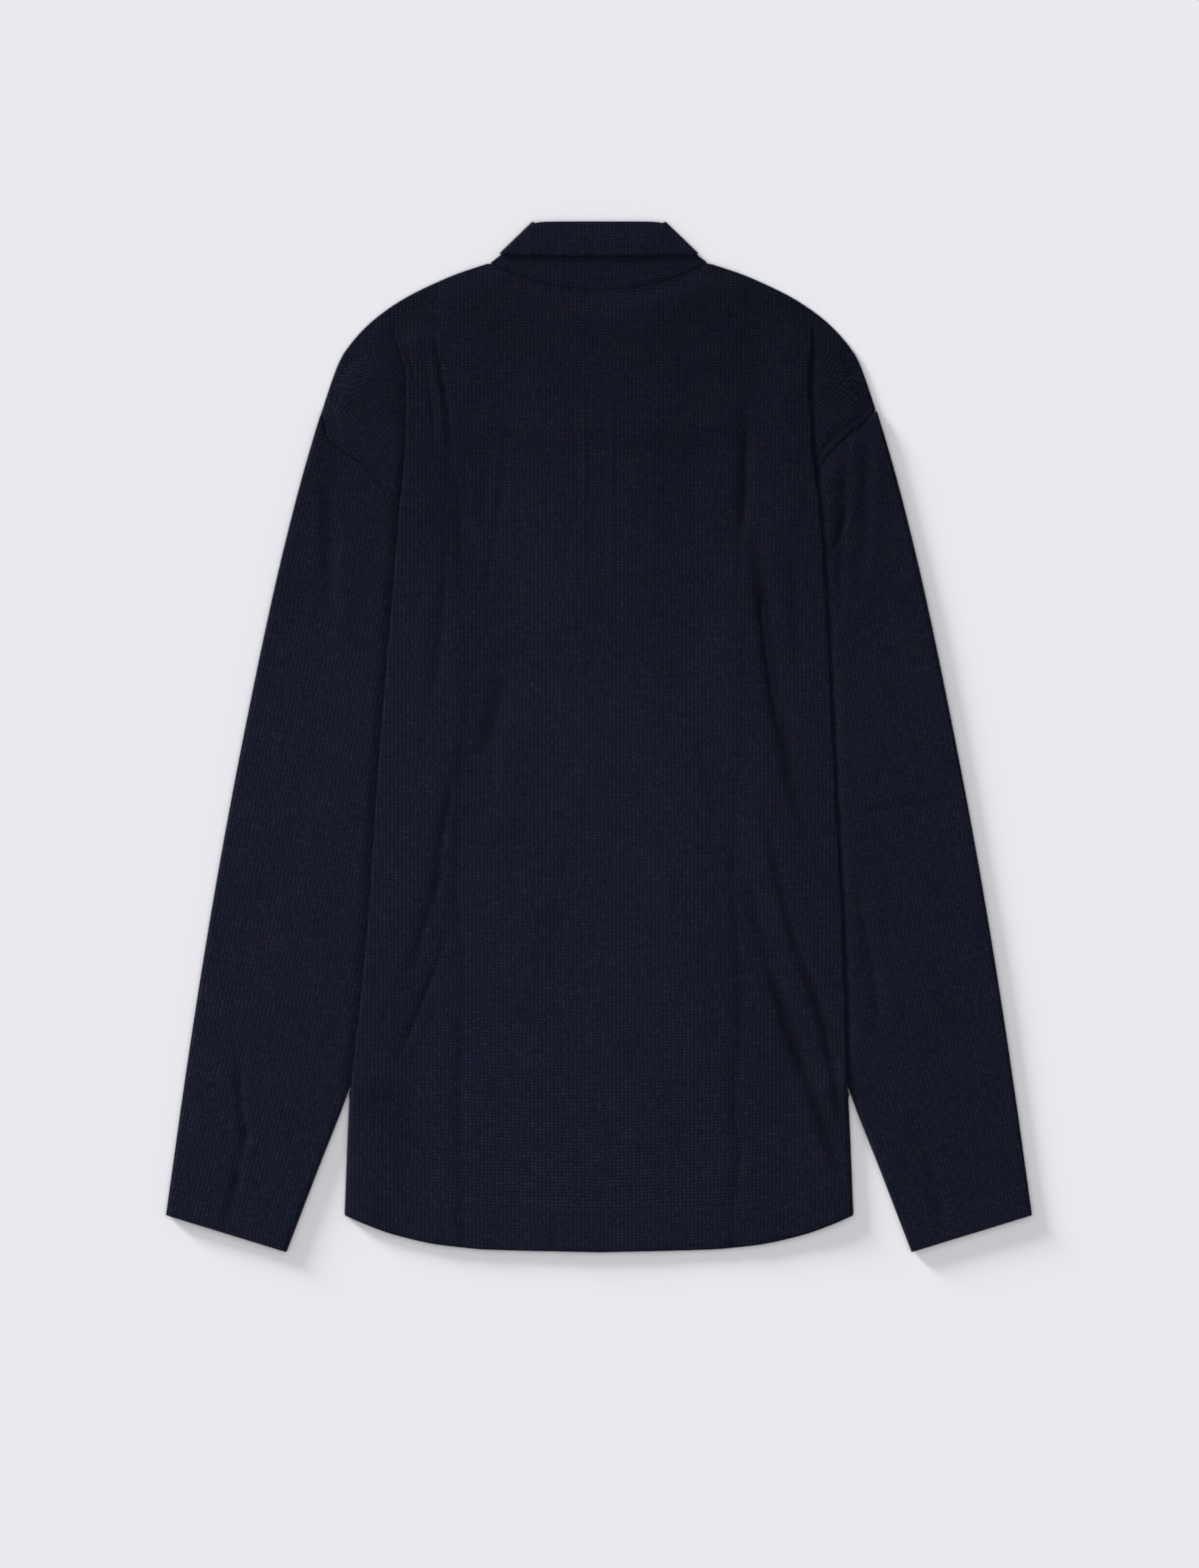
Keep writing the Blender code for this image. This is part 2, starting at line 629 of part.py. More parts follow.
# ---- collar ----
def collar_stations():
    """Places round the neck from one end at the centre front to the other.

    Each is (side sign, share of the way from the middle to the side, turn from back 0 to front 1).
    """
    stations = []
    for sign in (-1, 1):
        front = [(sign, share, 1.0) for share in COLLAR_FRONT_SHARES]
        turn = [(sign, 1.0, 1 - k / 4) for k in range(1, 4)]
        back = [(sign, share, 0.0) for share in COLLAR_BACK_SHARES]
        half = front + turn + back
        stations += half if sign < 0 else [(1, 0.0, 0.0)] + half[::-1]
    return stations


def neck_point(share, turn):
    """On the neck seam (half width, y)."""
    middle = BACK_NECK_Y if turn < 0.5 else FRONT_NECK_Y
    y = middle + (NECK_SIDE_Y - middle) * share**NECK_CURVE + SEAM_GAP
    return np.array([share * (NECK_HALF_WIDTH - COLLAR_SIDE_REACH), y])


def fold_point(share, turn):
    """On the line where the leaf folds over the stand."""
    if turn < 0.5:
        middle, curve = COLLAR_TOP_Y - FOLD_REACH, BACK_FOLD_CURVE
    else:
        middle, curve = FRONT_FOLD_Y, NECK_CURVE
    y = middle + (COLLAR_CORNER[1] - middle) * share**curve
    return np.array([share * COLLAR_CORNER[0], y])


def leaf_edge_point(share, turn):
    side = LEAF_FRONT_EDGE[0]
    if turn < 0.5 or share == 1.0:
        low, high = neck_point(1.0, turn), fold_point(1.0, turn)
        side_x = low[0] + (high[0] - low[0]) * (side.y - low[1]) / (high[1] - low[1])
        y = LEAF_BACK_EDGE_Y + (side.y - LEAF_BACK_EDGE_Y) * share**2
        return np.array([share * side_x, y])
    shares = [edge.share for edge in LEAF_FRONT_EDGE]
    x = np.interp(-share, -np.array(shares), [edge.half_width for edge in LEAF_FRONT_EDGE])
    y = np.interp(-share, -np.array(shares), [edge.y for edge in LEAF_FRONT_EDGE])
    return np.array([x, y])


def wrapped(plan, station, radius):
    """A collar point at a plan place, `radius` from the core level: above it at the back, below in front."""
    sign, _, turn = station
    outward = radius * math.sin(math.pi * turn)
    x = plan[0] + outward * COLLAR_SIDE_OUTWARD[0]
    y = plan[1] + outward * COLLAR_SIDE_OUTWARD[1]
    return (sign * x, y, COLLAR_CORE + radius * math.cos(math.pi * turn))


def make_stand(material):
    grid = []
    for share_up in STAND_ROWS:
        row = []
        for station in collar_stations():
            _, share, turn = station
            low, high = neck_point(share, turn), fold_point(share, turn)
            up = (high - low) / np.linalg.norm(high - low)
            plan = low + share_up * (high - (SEAM_GAP + LEAF_SEAM) * up - low)
            row.append(wrapped(plan, station, STAND_RADIUS))
        grid.append(row)
    return cloth_wall("collar_stand", grid, material)


def make_leaf(material):
    """From its seam to the stand, over the stand's top edge in a half turn, down to the leaf's edge."""
    rises = [(-LEAF_SEAM, STAND_RADIUS)]
    for k in range(TURN_STEPS + 1):
        angle = math.pi * (1 - k / TURN_STEPS)
        middle = (STAND_RADIUS + LEAF_RADIUS) / 2
        rises.append((FOLD_RADIUS * math.sin(angle), middle + FOLD_RADIUS * math.cos(angle)))
    grid = []
    for rise, radius in rises:
        row = []
        for station in collar_stations():
            _, share, turn = station
            low, high = neck_point(share, turn), fold_point(share, turn)
            up = (high - low) / np.linalg.norm(high - low)
            row.append(wrapped(high + up * rise, station, radius))
        grid.append(row)
    for share_down in LEAF_ROWS:
        row = []
        for station in collar_stations():
            _, share, turn = station
            high, edge = fold_point(share, turn), leaf_edge_point(share, turn)
            row.append(wrapped(high + share_down * (edge - high), station, LEAF_RADIUS))
        grid.append(row)
    return cloth_wall("collar_leaf", grid, material)


# ---- placket and buttons ----
def make_strip(name, layers_up, material):
    """A strip in the front's slot, raised over the buttons, `layers_up` layers above the front."""
    top = FRONT_NECK_Y - SEAM_GAP
    bottom = PLACKET_END_Y + SEAM_GAP
    grid = []
    for y in [top, *(button.y + step for button in BUTTONS for step in ROWS_NEAR_BUTTON), bottom]:
        row = []
        for x in np.linspace(-PLACKET_HALF_WIDTH, PLACKET_HALF_WIDTH, STRIP_COLUMNS):
            row.append((x, y, front_level(x, y) + layers_up * STRIP_PITCH + button_bulge(x, y)))
        grid.append(row)
    return cloth_wall(name, grid, material)


def turned_button(button, material):
    """A turned disc with a raised rim round a shallow dish, its outer face down."""
    profile = [
        (0.0, BUTTON_DISH),
        (BUTTON_RADIUS - BUTTON_RIM, BUTTON_DISH),
        (BUTTON_RADIUS - 0.6 * BUTTON_RIM, 0.0),
        (BUTTON_RADIUS - 0.3, 0.0),
        (BUTTON_RADIUS, 0.35),
        (BUTTON_RADIUS, BUTTON_THICKNESS - 0.35),
        (BUTTON_RADIUS - 0.4, BUTTON_THICKNESS),
        (0.0, BUTTON_THICKNESS),
    ]
    shape = bmesh.new()
    points = [shape.verts.new((r * MM, button.y * MM, z * MM)) for r, z in profile]
    edges = [shape.edges.new(pair) for pair in zip(points, points[1:])]
    bmesh.ops.spin(
        shape,
        geom=points + edges,
        cent=(0, button.y * MM, 0),
        axis=(0, 0, 1),
        angle=2 * math.pi,
        steps=BUTTON_STEPS,
    )
    bmesh.ops.remove_doubles(shape, verts=shape.verts, dist=0.01 * MM)
    bmesh.ops.recalc_face_normals(shape, faces=shape.faces)
    return finished("button_" + button.name, shape, material)


for leftover in list(bpy.data.objects):
    bpy.data.objects.remove(leftover)

waffle_cloth = finish("waffle_cloth", (0.010, 0.012, 0.022), 0.9)
dark_button = finish("dark_button", (0.012, 0.013, 0.020), 0.35)

make_back(waffle_cloth)
make_front(waffle_cloth)
for shirt_side in SIDES:
    make_sleeve(shirt_side, waffle_cloth)
make_stand(waffle_cloth)
make_leaf(waffle_cloth)
make_strip("placket_outer", 0, waffle_cloth)
make_strip("placket_inner", 1, waffle_cloth)
for shirt_button in BUTTONS:
    turned_button(shirt_button, dark_button)
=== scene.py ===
"""Long-sleeve polo shirt in a dark waffle knit, laid flat on a pale floor with its back up.

Blender 4.5. Sizes and places are in millimetres, and become metres where a mesh is made. X runs across the
shirt, Y from the hem to the collar, Z up from the floor. A "half width" is a distance from the middle line.
"""

import math
from collections import namedtuple

import bmesh
import bpy
import numpy as np
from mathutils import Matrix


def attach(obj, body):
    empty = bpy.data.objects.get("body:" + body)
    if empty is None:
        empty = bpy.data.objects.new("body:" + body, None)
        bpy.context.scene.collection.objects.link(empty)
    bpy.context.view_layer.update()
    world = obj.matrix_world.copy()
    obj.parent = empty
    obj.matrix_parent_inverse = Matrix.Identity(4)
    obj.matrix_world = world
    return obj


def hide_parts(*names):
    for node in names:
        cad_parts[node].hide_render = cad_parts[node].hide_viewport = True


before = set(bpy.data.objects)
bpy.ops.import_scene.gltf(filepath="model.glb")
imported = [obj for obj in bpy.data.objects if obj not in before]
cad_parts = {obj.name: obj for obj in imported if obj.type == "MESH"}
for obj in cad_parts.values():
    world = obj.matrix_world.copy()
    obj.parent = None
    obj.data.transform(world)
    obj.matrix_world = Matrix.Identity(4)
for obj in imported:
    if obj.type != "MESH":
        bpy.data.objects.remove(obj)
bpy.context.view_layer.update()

# ==== Front ====
# One panel of waffle knit with a slot cut down its middle for the placket. It is the lowest layer: it lies
# on the floor and rises only over the collar leaf and beside the sleeves. It is sewn to back and sleeves.
MM = 0.001
CLOTH = 1.2
SEAM_GAP = 0.3
PITCH = CLOTH + SEAM_GAP  # from the middle of one layer to the middle of the next
FOLD_RADIUS = PITCH / 2
FOLD_REACH = FOLD_RADIUS + CLOTH / 2
LAYER_1 = CLOTH / 2  # middle of the layer that lies on the floor
LAYER_2 = LAYER_1 + PITCH
LAYER_3 = LAYER_2 + PITCH

Station = namedtuple("Station", "y half_width")


def stations(*places):
    """Stations down an edge, each given as its y and its half width."""
    return [Station(*place) for place in places]


OUTER_EDGE = stations(  # shoulder, then the outer edge of the sleeve down to the cuff
    (364.6, 84.3), (355.4, 111.7), (346.1, 133.2), (336.9, 150.9), (321.5, 172.9), (306.1, 188.3),
    (290.7, 199.0), (275.3, 205.2), (244.5, 215.2), (198.3, 228.7), (152.1, 240.6), (105.9, 251.4),
    (13.5, 270.7), (-78.9, 288.4), (-171.3, 304.2), (-263.7, 318.4), (-367.7, 333.0),
)
SLEEVE_INNER_EDGE = stations(  # from the underarm, under the body, out at its edge, to the cuff
    (75.1, 111.3), (-30.0, 131.0), (-130.0, 153.0), (-210.0, 173.0), (-274.5, 193.3),
    (-333.0, 216.0), (-396.2, 240.2),
)
HEM_EDGE = stations(  # the hem's curve, corner to middle
    (-367.7, 196.0), (-375.4, 178.3), (-383.1, 156.7), (-390.8, 122.0), (-394.6, 81.6),
    (-396.5, 0.0),
)
UNDERARM = SLEEVE_INNER_EDGE[0]
GAP_TOP = SLEEVE_INNER_EDGE[4]  # where the sleeve comes out from under the body
HEM_CORNER = HEM_EDGE[0]

Side = namedtuple("Side", "name sign armhole body_edge pressed_fold")
LEFT = Side(
    name="left",
    sign=-1,
    armhole=stations(
        (249.0, 213.4), (231.2, 208.9), (206.7, 178.3), (191.3, 165.2), (174.4, 152.1),
        (75.1, 111.3),
    ),
    body_edge=stations(
        (345.0, 162.0), (311.5, 157.1), (273.7, 148.5), (225.2, 149.2), (170.6, 154.0),
        (111.3, 158.8), (35.8, 165.2), (-45.0, 171.6), (-125.9, 176.6), (-191.3, 182.5),
        (-261.4, 190.3), (-279.1, 192.1), (-367.7, 196.0),
    ),
    pressed_fold=stations(
        (215.0, 112.0), (167.0, 107.3), (90.0, 105.5), (36.6, 103.4), (-9.6, 106.4),
        (-48.0, 109.0), (-125.0, 109.2), (-168.0, 104.4), (-240.0, 105.5), (-302.0, 107.2),
        (-367.7, 104.6),
    ),
)
RIGHT = Side(
    name="right",
    sign=1,
    armhole=stations(
        (250.6, 212.9), (239.1, 199.8), (225.2, 183.6), (212.9, 172.9), (205.2, 166.7),
        (75.1, 111.3),
    ),
    body_edge=stations(
        (345.0, 167.0), (311.5, 164.3), (273.7, 161.9), (225.2, 164.3), (170.6, 170.5),
        (111.3, 174.6), (35.8, 178.2), (-45.0, 182.2), (-125.9, 186.6), (-207.5, 189.7),
        (-272.2, 191.5), (-279.1, 192.1), (-367.7, 196.0),
    ),
    pressed_fold=stations(
        (236.0, 113.6), (198.3, 112.0), (140.5, 109.2), (21.0, 109.7), (-32.7, 107.0),
        (-100.0, 104.3), (-156.0, 106.0), (-202.0, 109.6), (-287.0, 104.8), (-320.0, 107.6),
        (-367.7, 103.0),
    ),
)
SIDES = (LEFT, RIGHT)

NECK_HALF_WIDTH = OUTER_EDGE[0].half_width
NECK_SIDE_Y = OUTER_EDGE[0].y
FRONT_NECK_Y = 290.7
NECK_CURVE = 2.2  # power of the neck curves
COLLAR_ZONE_Y = (225.0, 25.0)  # where the panels begin to rise over the collar leaf, and over what height
COLLAR_ZONE_X = (92.0, 26.0)
PLACKET_HALF_WIDTH = 12.7
PLACKET_SLOT = PLACKET_HALF_WIDTH + SEAM_GAP
PLACKET_END_Y = 120.0

SHOULDER_ROW = 296.3  # the first row lies along shoulders and neck, and the last along the hem
HEM_ROW = HEM_CORNER.y
SHOULDER_ROWS_END = 190.0  # rows bend to the shoulders above here
HEM_ROWS_START = 50.0  # and more and more to the hem below here
HEM_DEPTH = 35.0  # the turned-up hem, with two rows of stitches by its upper edge
HEM_STITCHES = (HEM_DEPTH - 2.0, HEM_DEPTH - 8.0)
PANEL_ROWS = np.concatenate([
    [SHOULDER_ROW, SHOULDER_ROW - 0.3, SHOULDER_ROW - 0.8, SHOULDER_ROW - 1.6],
    np.linspace(SHOULDER_ROW - 2.8, PLACKET_END_Y, 51),
    np.linspace(PLACKET_END_Y, HEM_ROW + HEM_DEPTH + 2.0, 128)[1:],
    np.linspace(HEM_ROW + HEM_DEPTH + 1.0, HEM_ROW + HEM_DEPTH - 9.0, 11),
    np.linspace(HEM_ROW + HEM_DEPTH - 9.0, HEM_ROW + 2.5, 8)[1:],
    [HEM_ROW + 1.2, HEM_ROW + 0.5, HEM_ROW],
])  # fmt: skip
SAMPLES = 400  # points on a smooth line that rows are met with


def smooth_step(value):
    """0 below 0, 1 above 1, and an even slope with soft ends between."""
    value = np.clip(value, 0.0, 1.0)
    return value * value * (3 - 2 * value)


def rising(value, start, width):
    """0 up to the start, and 1 from a width beyond it."""
    return smooth_step((value - start) / width)


def falling(value, start, width):
    """0 down to the start, and 1 from a width below it."""
    return smooth_step((start - value) / width)


def smooth_line(places, values, at):
    """Values at `at` on a curve through the given points that never overshoots them."""
    places, values = np.asarray(places, float), np.asarray(values, float)
    if places[0] > places[-1]:
        places, values = places[::-1], values[::-1]
    step = np.diff(places)
    rise = np.diff(values) / step
    slope = np.zeros(len(places))
    same_way = rise[:-1] * rise[1:] > 0
    mean = 2 * rise[:-1] * rise[1:] / np.where(same_way, rise[:-1] + rise[1:], 1.0)
    slope[1:-1] = np.where(same_way, mean, 0.0)
    slope[0], slope[-1] = rise[0], rise[-1]
    at = np.clip(at, places[0], places[-1])
    k = np.clip(np.searchsorted(places, at) - 1, 0, len(step) - 1)
    t = (at - places[k]) / step[k]
    return (
        values[k] * (1 + 2 * t) * (1 - t) ** 2
        + values[k + 1] * t * t * (3 - 2 * t)
        + step[k] * (slope[k] * t * (1 - t) ** 2 - slope[k + 1] * t * t * (1 - t))
    )


def half_width_at(stations, y):
    return smooth_line([s.y for s in stations], [s.half_width for s in stations], y)


def y_at(stations, half_width):
    return smooth_line([s.half_width for s in stations], [s.y for s in stations], half_width)


def points_down(stations, top, bottom):
    """Points (half width, y) on a smooth edge between two heights."""
    y = np.linspace(top, bottom, SAMPLES)
    return np.column_stack([half_width_at(stations, y), y])


def armhole_points(side):
    """The armhole seam from the outer edge down to the underarm."""
    half_width = np.linspace(side.armhole[0].half_width, UNDERARM.half_width, SAMPLES)
    return np.column_stack([half_width, y_at(side.armhole[::-1], half_width)])


def panel_edge(side):
    """The whole outer edge of the front or back: shoulder, armhole seam, side seam."""
    shoulder = points_down(OUTER_EDGE, SHOULDER_ROW, side.armhole[0].y)
    beside_sleeve = points_down(SLEEVE_INNER_EDGE, UNDERARM.y, GAP_TOP.y)
    beside_sleeve[:, 0] -= 2 * SEAM_GAP
    below_sleeve = [Station(GAP_TOP.y - 4.6, 192.1), HEM_CORNER]
    side_seam = points_down(below_sleeve, below_sleeve[0].y, HEM_CORNER.y)
    return np.vstack([shoulder, armhole_points(side), beside_sleeve, side_seam])


SHOULDER_ROW_HALF_WIDTH = float(half_width_at(OUTER_EDGE, SHOULDER_ROW))
SEAM_LINE = {side.name: panel_edge(side) for side in SIDES}


def top_edge(x, neck_y):
    """A panel's upper edge: the neck seam in the middle, the shoulder outside it."""
    neck = neck_y + (NECK_SIDE_Y - neck_y) * np.abs(x / NECK_HALF_WIDTH) ** NECK_CURVE
    return np.where(np.abs(x) < NECK_HALF_WIDTH, neck, y_at(OUTER_EDGE, np.abs(x)))


def hem_drop(row, x):
    """How much lower than its side ends a row runs at x. The knit's own rows bend with it."""
    to_hem = np.clip((row - HEM_ROWS_START) / (HEM_ROW + HEM_DEPTH - HEM_ROWS_START), 0, 1)
    return to_hem**3 * (y_at(HEM_EDGE, np.minimum(np.abs(x), HEM_CORNER.half_width)) - HEM_CORNER.y)


def row_y(row, neck_y, x):
    """Height of a row at x: the upper rows follow shoulders and neck, the lowest ones the hem."""
    to_top = np.clip((row - SHOULDER_ROWS_END) / (SHOULDER_ROW - SHOULDER_ROWS_END), 0, 1)
    rise = np.where(np.abs(x) < SHOULDER_ROW_HALF_WIDTH, top_edge(x, neck_y) - SHOULDER_ROW, 0)
    return row + to_top * rise + hem_drop(row, x)


def where_row_meets(row, neck_y, line):
    """The point (half width, y) where a row crosses a line of points that runs downwards."""
    above = line[:, 1] - row_y(row, neck_y, line[:, 0])
    k = int(np.argmax(above <= 1e-9))
    if k == 0:
        return line[0] if above[0] <= 1e-9 else line[-1]
    t = above[k - 1] / (above[k - 1] - above[k])
    return line[k - 1] + t * (line[k] - line[k - 1])


def collar_zone(x, y):
    """1 where the collar leaf lies under the panels, 0 away from it."""
    return rising(y, *COLLAR_ZONE_Y) * (1 - rising(np.abs(x), *COLLAR_ZONE_X))


def front_level(x, y):
    return LAYER_1 + PITCH * collar_zone(x, y)


BAND_HEIGHT = 0.3  # what shows of the second layer in a turned-up hem or cuff
BAND_STEP = 2.5
STITCH_GROOVE = (0.2, 0.9)  # depth and reach


def hem_band(distance, depth, stitches):
    """Extra height of a turned-up band at a distance from its folded edge, with its rows of stitches."""
    height = BAND_HEIGHT * (1 - smooth_step((distance - depth) / BAND_STEP))
    deep, reach = STITCH_GROOVE
    for stitch in stitches:
        height = height - deep * np.exp(-(((distance - stitch) / reach) ** 2))
    return height


Crease = namedtuple("Crease", "x0 y0 x1 y1 bow height reach far_reach", defaults=[None])
CREASE_END = 0.3  # the share of its length over which a crease runs out at each end
# Painted shade in creases: it grows with a trough's depth to a power, and is full at this depth.
DEEPEST_CREASE = 2.2
CREASE_SHADE_CURVE = 1.5


def creased(creases, x, y):
    """Height that soft creases add at signed x, y: ridges where their height is above 0, else troughs.

    A crease with a far reach is wider on its right side than on its left.
    """
    total = np.zeros(np.shape(x))
    for crease in creases:
        run = math.hypot(crease.x1 - crease.x0, crease.y1 - crease.y0)
        along = ((crease.x1 - crease.x0) / run, (crease.y1 - crease.y0) / run)
        t = ((x - crease.x0) * along[0] + (y - crease.y0) * along[1]) / run
        aside = (y - crease.y0) * along[0] - (x - crease.x0) * along[1] - crease.bow * 4 * t * (1 - t)
        ends = smooth_step(t / CREASE_END) * smooth_step((1 - t) / CREASE_END)
        reach = np.where(aside > 0, crease.far_reach or crease.reach, crease.reach)
        total += crease.height * ends * np.exp(-((aside / reach) ** 2))
    return total


def painted_crease_shade(height):
    """Painted shade in a trough, from 0 to 1: how much its colour is darkened, growing with the trough's
    depth.
    """
    return np.clip(-height / DEEPEST_CREASE, 0, 1) ** CREASE_SHADE_CURVE


def new_piece(name, data):
    """An object of the scene made from a mesh, lamp or camera."""
    piece = bpy.data.objects.new(name, data)
    bpy.context.collection.objects.link(piece)
    return piece


def cloth_shell(name, grid, grain, present=None, closed=False, crease_shade=None):
    """A wall of cloth round a grid of points that is its middle surface.

    `grain` is each point's place across and along the knit, and the last argument, if given, the painted
    shade that darkens its colour in creases.
    `present` leaves out cells, and `closed` joins the last column to the first, as in a tube.
    """
    rows, columns = grid.shape[:2]
    i, j = np.mgrid[0 : rows - 1, 0 : columns - 1 + closed]
    if present is not None:
        i, j = i[present], j[present]
    i, j = i.ravel(), j.ravel()
    after = (j + 1) % columns
    below = i + 1
    corners = [i * columns + j, below * columns + j, below * columns + after, i * columns + after]
    quads = np.stack(corners, 1)
    used, faces = np.unique(quads, return_inverse=True)
    mesh = bpy.data.meshes.new(name)
    mesh.from_pydata((grid.reshape(-1, 3)[used] * MM).tolist(), [], faces.reshape(-1, 4).tolist())
    place = np.zeros((len(used), 3))
    place[:, :2] = grain.reshape(-1, 2)[used] * MM
    mesh.attributes.new("cloth_at", "FLOAT_VECTOR", "POINT").data.foreach_set("vector", place.ravel())
    # The painted crease shade is kept on the points, for the material to darken the colour with.
    if crease_shade is not None:
        mesh.attributes.new("crease_shade", "FLOAT", "POINT").data.foreach_set("value", crease_shade.ravel()[used])
    mesh.shade_smooth()
    piece = new_piece(name, mesh)
    wall = piece.modifiers.new("cloth", "SOLIDIFY")
    wall.thickness = CLOTH * MM
    wall.offset = 0
    return piece


def add_node(tree, kind, values, **settings):
    """A shader node with its settings, and its inputs set to numbers or linked to other nodes' outputs."""
    made = tree.nodes.new("ShaderNode" + kind)
    for setting, value in settings.items():
        setattr(made, setting, value)
    for socket, value in values.items():
        if isinstance(value, bpy.types.NodeSocket):
            tree.links.new(value, made.inputs[socket])
        else:
            made.inputs[socket].default_value = value
    return made


def ranged(tree, value, start, end, low, high):
    """A value taken from the range start to end over to the range low to high, and held there beyond it."""
    return add_node(tree, "MapRange", {0: value, 1: start, 2: end, 3: low, 4: high}).outputs[0]


def number(tree, operation, *values):
    return add_node(tree, "Math", dict(enumerate(values)), operation=operation).outputs[0]


def vector(tree, operation, *values):
    return add_node(tree, "VectorMath", dict(enumerate(values)), operation=operation).outputs[0]


def scaled(tree, place, factor):
    return add_node(tree, "VectorMath", {0: place, "Scale": factor}, operation="SCALE").outputs[0]


def cloud(tree, place, scale, detail, output="Fac"):
    return add_node(tree, "TexNoise", {"Vector": place, "Scale": scale, "Detail": detail}).outputs[output]


def mixed(tree, share, first, second, **settings):
    values = {0: share, "A": first, "B": second}
    return add_node(tree, "Mix", values, data_type="RGBA", **settings).outputs["Result"]


def new_material(name):
    """A material, its node tree and its shader."""
    material = bpy.data.materials.new(name)
    material.use_nodes = True
    return material, material.node_tree, material.node_tree.nodes["Principled BSDF"]


def bump_on(tree, shader, height, strength, depth):
    bump = add_node(tree, "Bump", {"Height": height, "Strength": strength, "Distance": depth})
    tree.links.new(bump.outputs["Normal"], shader.inputs["Normal"])


WAFFLE = (0.0030, 0.0022)  # one cell of the knit, across and along, in metres
CELL_COLOUR = (0.0140, 0.0166, 0.0335, 1)
# The lines between the cells: the same navy darkened with painted shade in the recesses.
SHADED_LINE_COLOUR = (0.0054, 0.0065, 0.0136, 1)
FLECK_COLOUR = (0.0235, 0.0165, 0.0215, 1)
CELL_ROUNDING = 0.6  # power of the cell's wave: below 1 the cells are broad and the lines narrow
WANDERINGS = ((55.0, 0.0016), (270.0, 0.0021))  # scale of the cloud, and its reach in metres
HALF = (0.5, 0.5, 0.5)
CLOUD = (0.3, 0.7)  # nearly all of a cloud's values lie between these
DYE = (0.62, 1.38)  # least and most that one cell takes
PATCHES = ((22.0, 0.93, 1.07), (130.0, 0.9, 1.1), (420.0, 0.86, 1.14))  # scale, darkest, lightest
YARN_SCALE = 1500.0
YARN_LIGHT = (-0.08, 0.12)
YARN_ROUGHNESS = (0.82, 0.98)
YARN_RELIEF = 0.3
FLECKED_CELLS = (0.93, 0.97, 0.0, 0.5)  # a cell whose chance is above the first two has a fleck so strong
FLECK_IN_CREASE = 0.1
CELL_TINT = 0.2
STAINS = (  # scale, then the spread and the least of red, green and blue
    (150.0, (0.8, 0.3, 0.3), (0.6, 0.85, 0.85)),
    (28.0, (0.3, 0.1, 0.2), (0.85, 0.95, 0.9)),
)
# Painted light and shade: each of these is a range of places, of slopes or of crease shade, and the factor
# on the colour at its two ends.
UPPER_PAINTED_SHADE = (0.03, 0.34, 1.0, 0.66)
RIGHT_PAINTED_SHADE = (0.02, 0.15, 1.0, 0.84)
COLLAR_PAINTED_LIGHT = (0.335, 0.37, 1.0, 1.2)
STEEP_PAINTED_SHADE = (0.25, 0.9, 0.3, 1.0)
CREASE_PAINTED_SHADE = (0.0, 1.0, 1.0, 0.6)


def wandering(tree, place, scale, reach):
    """A place moved aside by up to about half of `reach` metres, so that nothing runs quite straight."""
    aside = vector(tree, "SUBTRACT", cloud(tree, place, scale, 2.0, "Color"), HALF)
    return vector(tree, "ADD", place, scaled(tree, aside, reach))


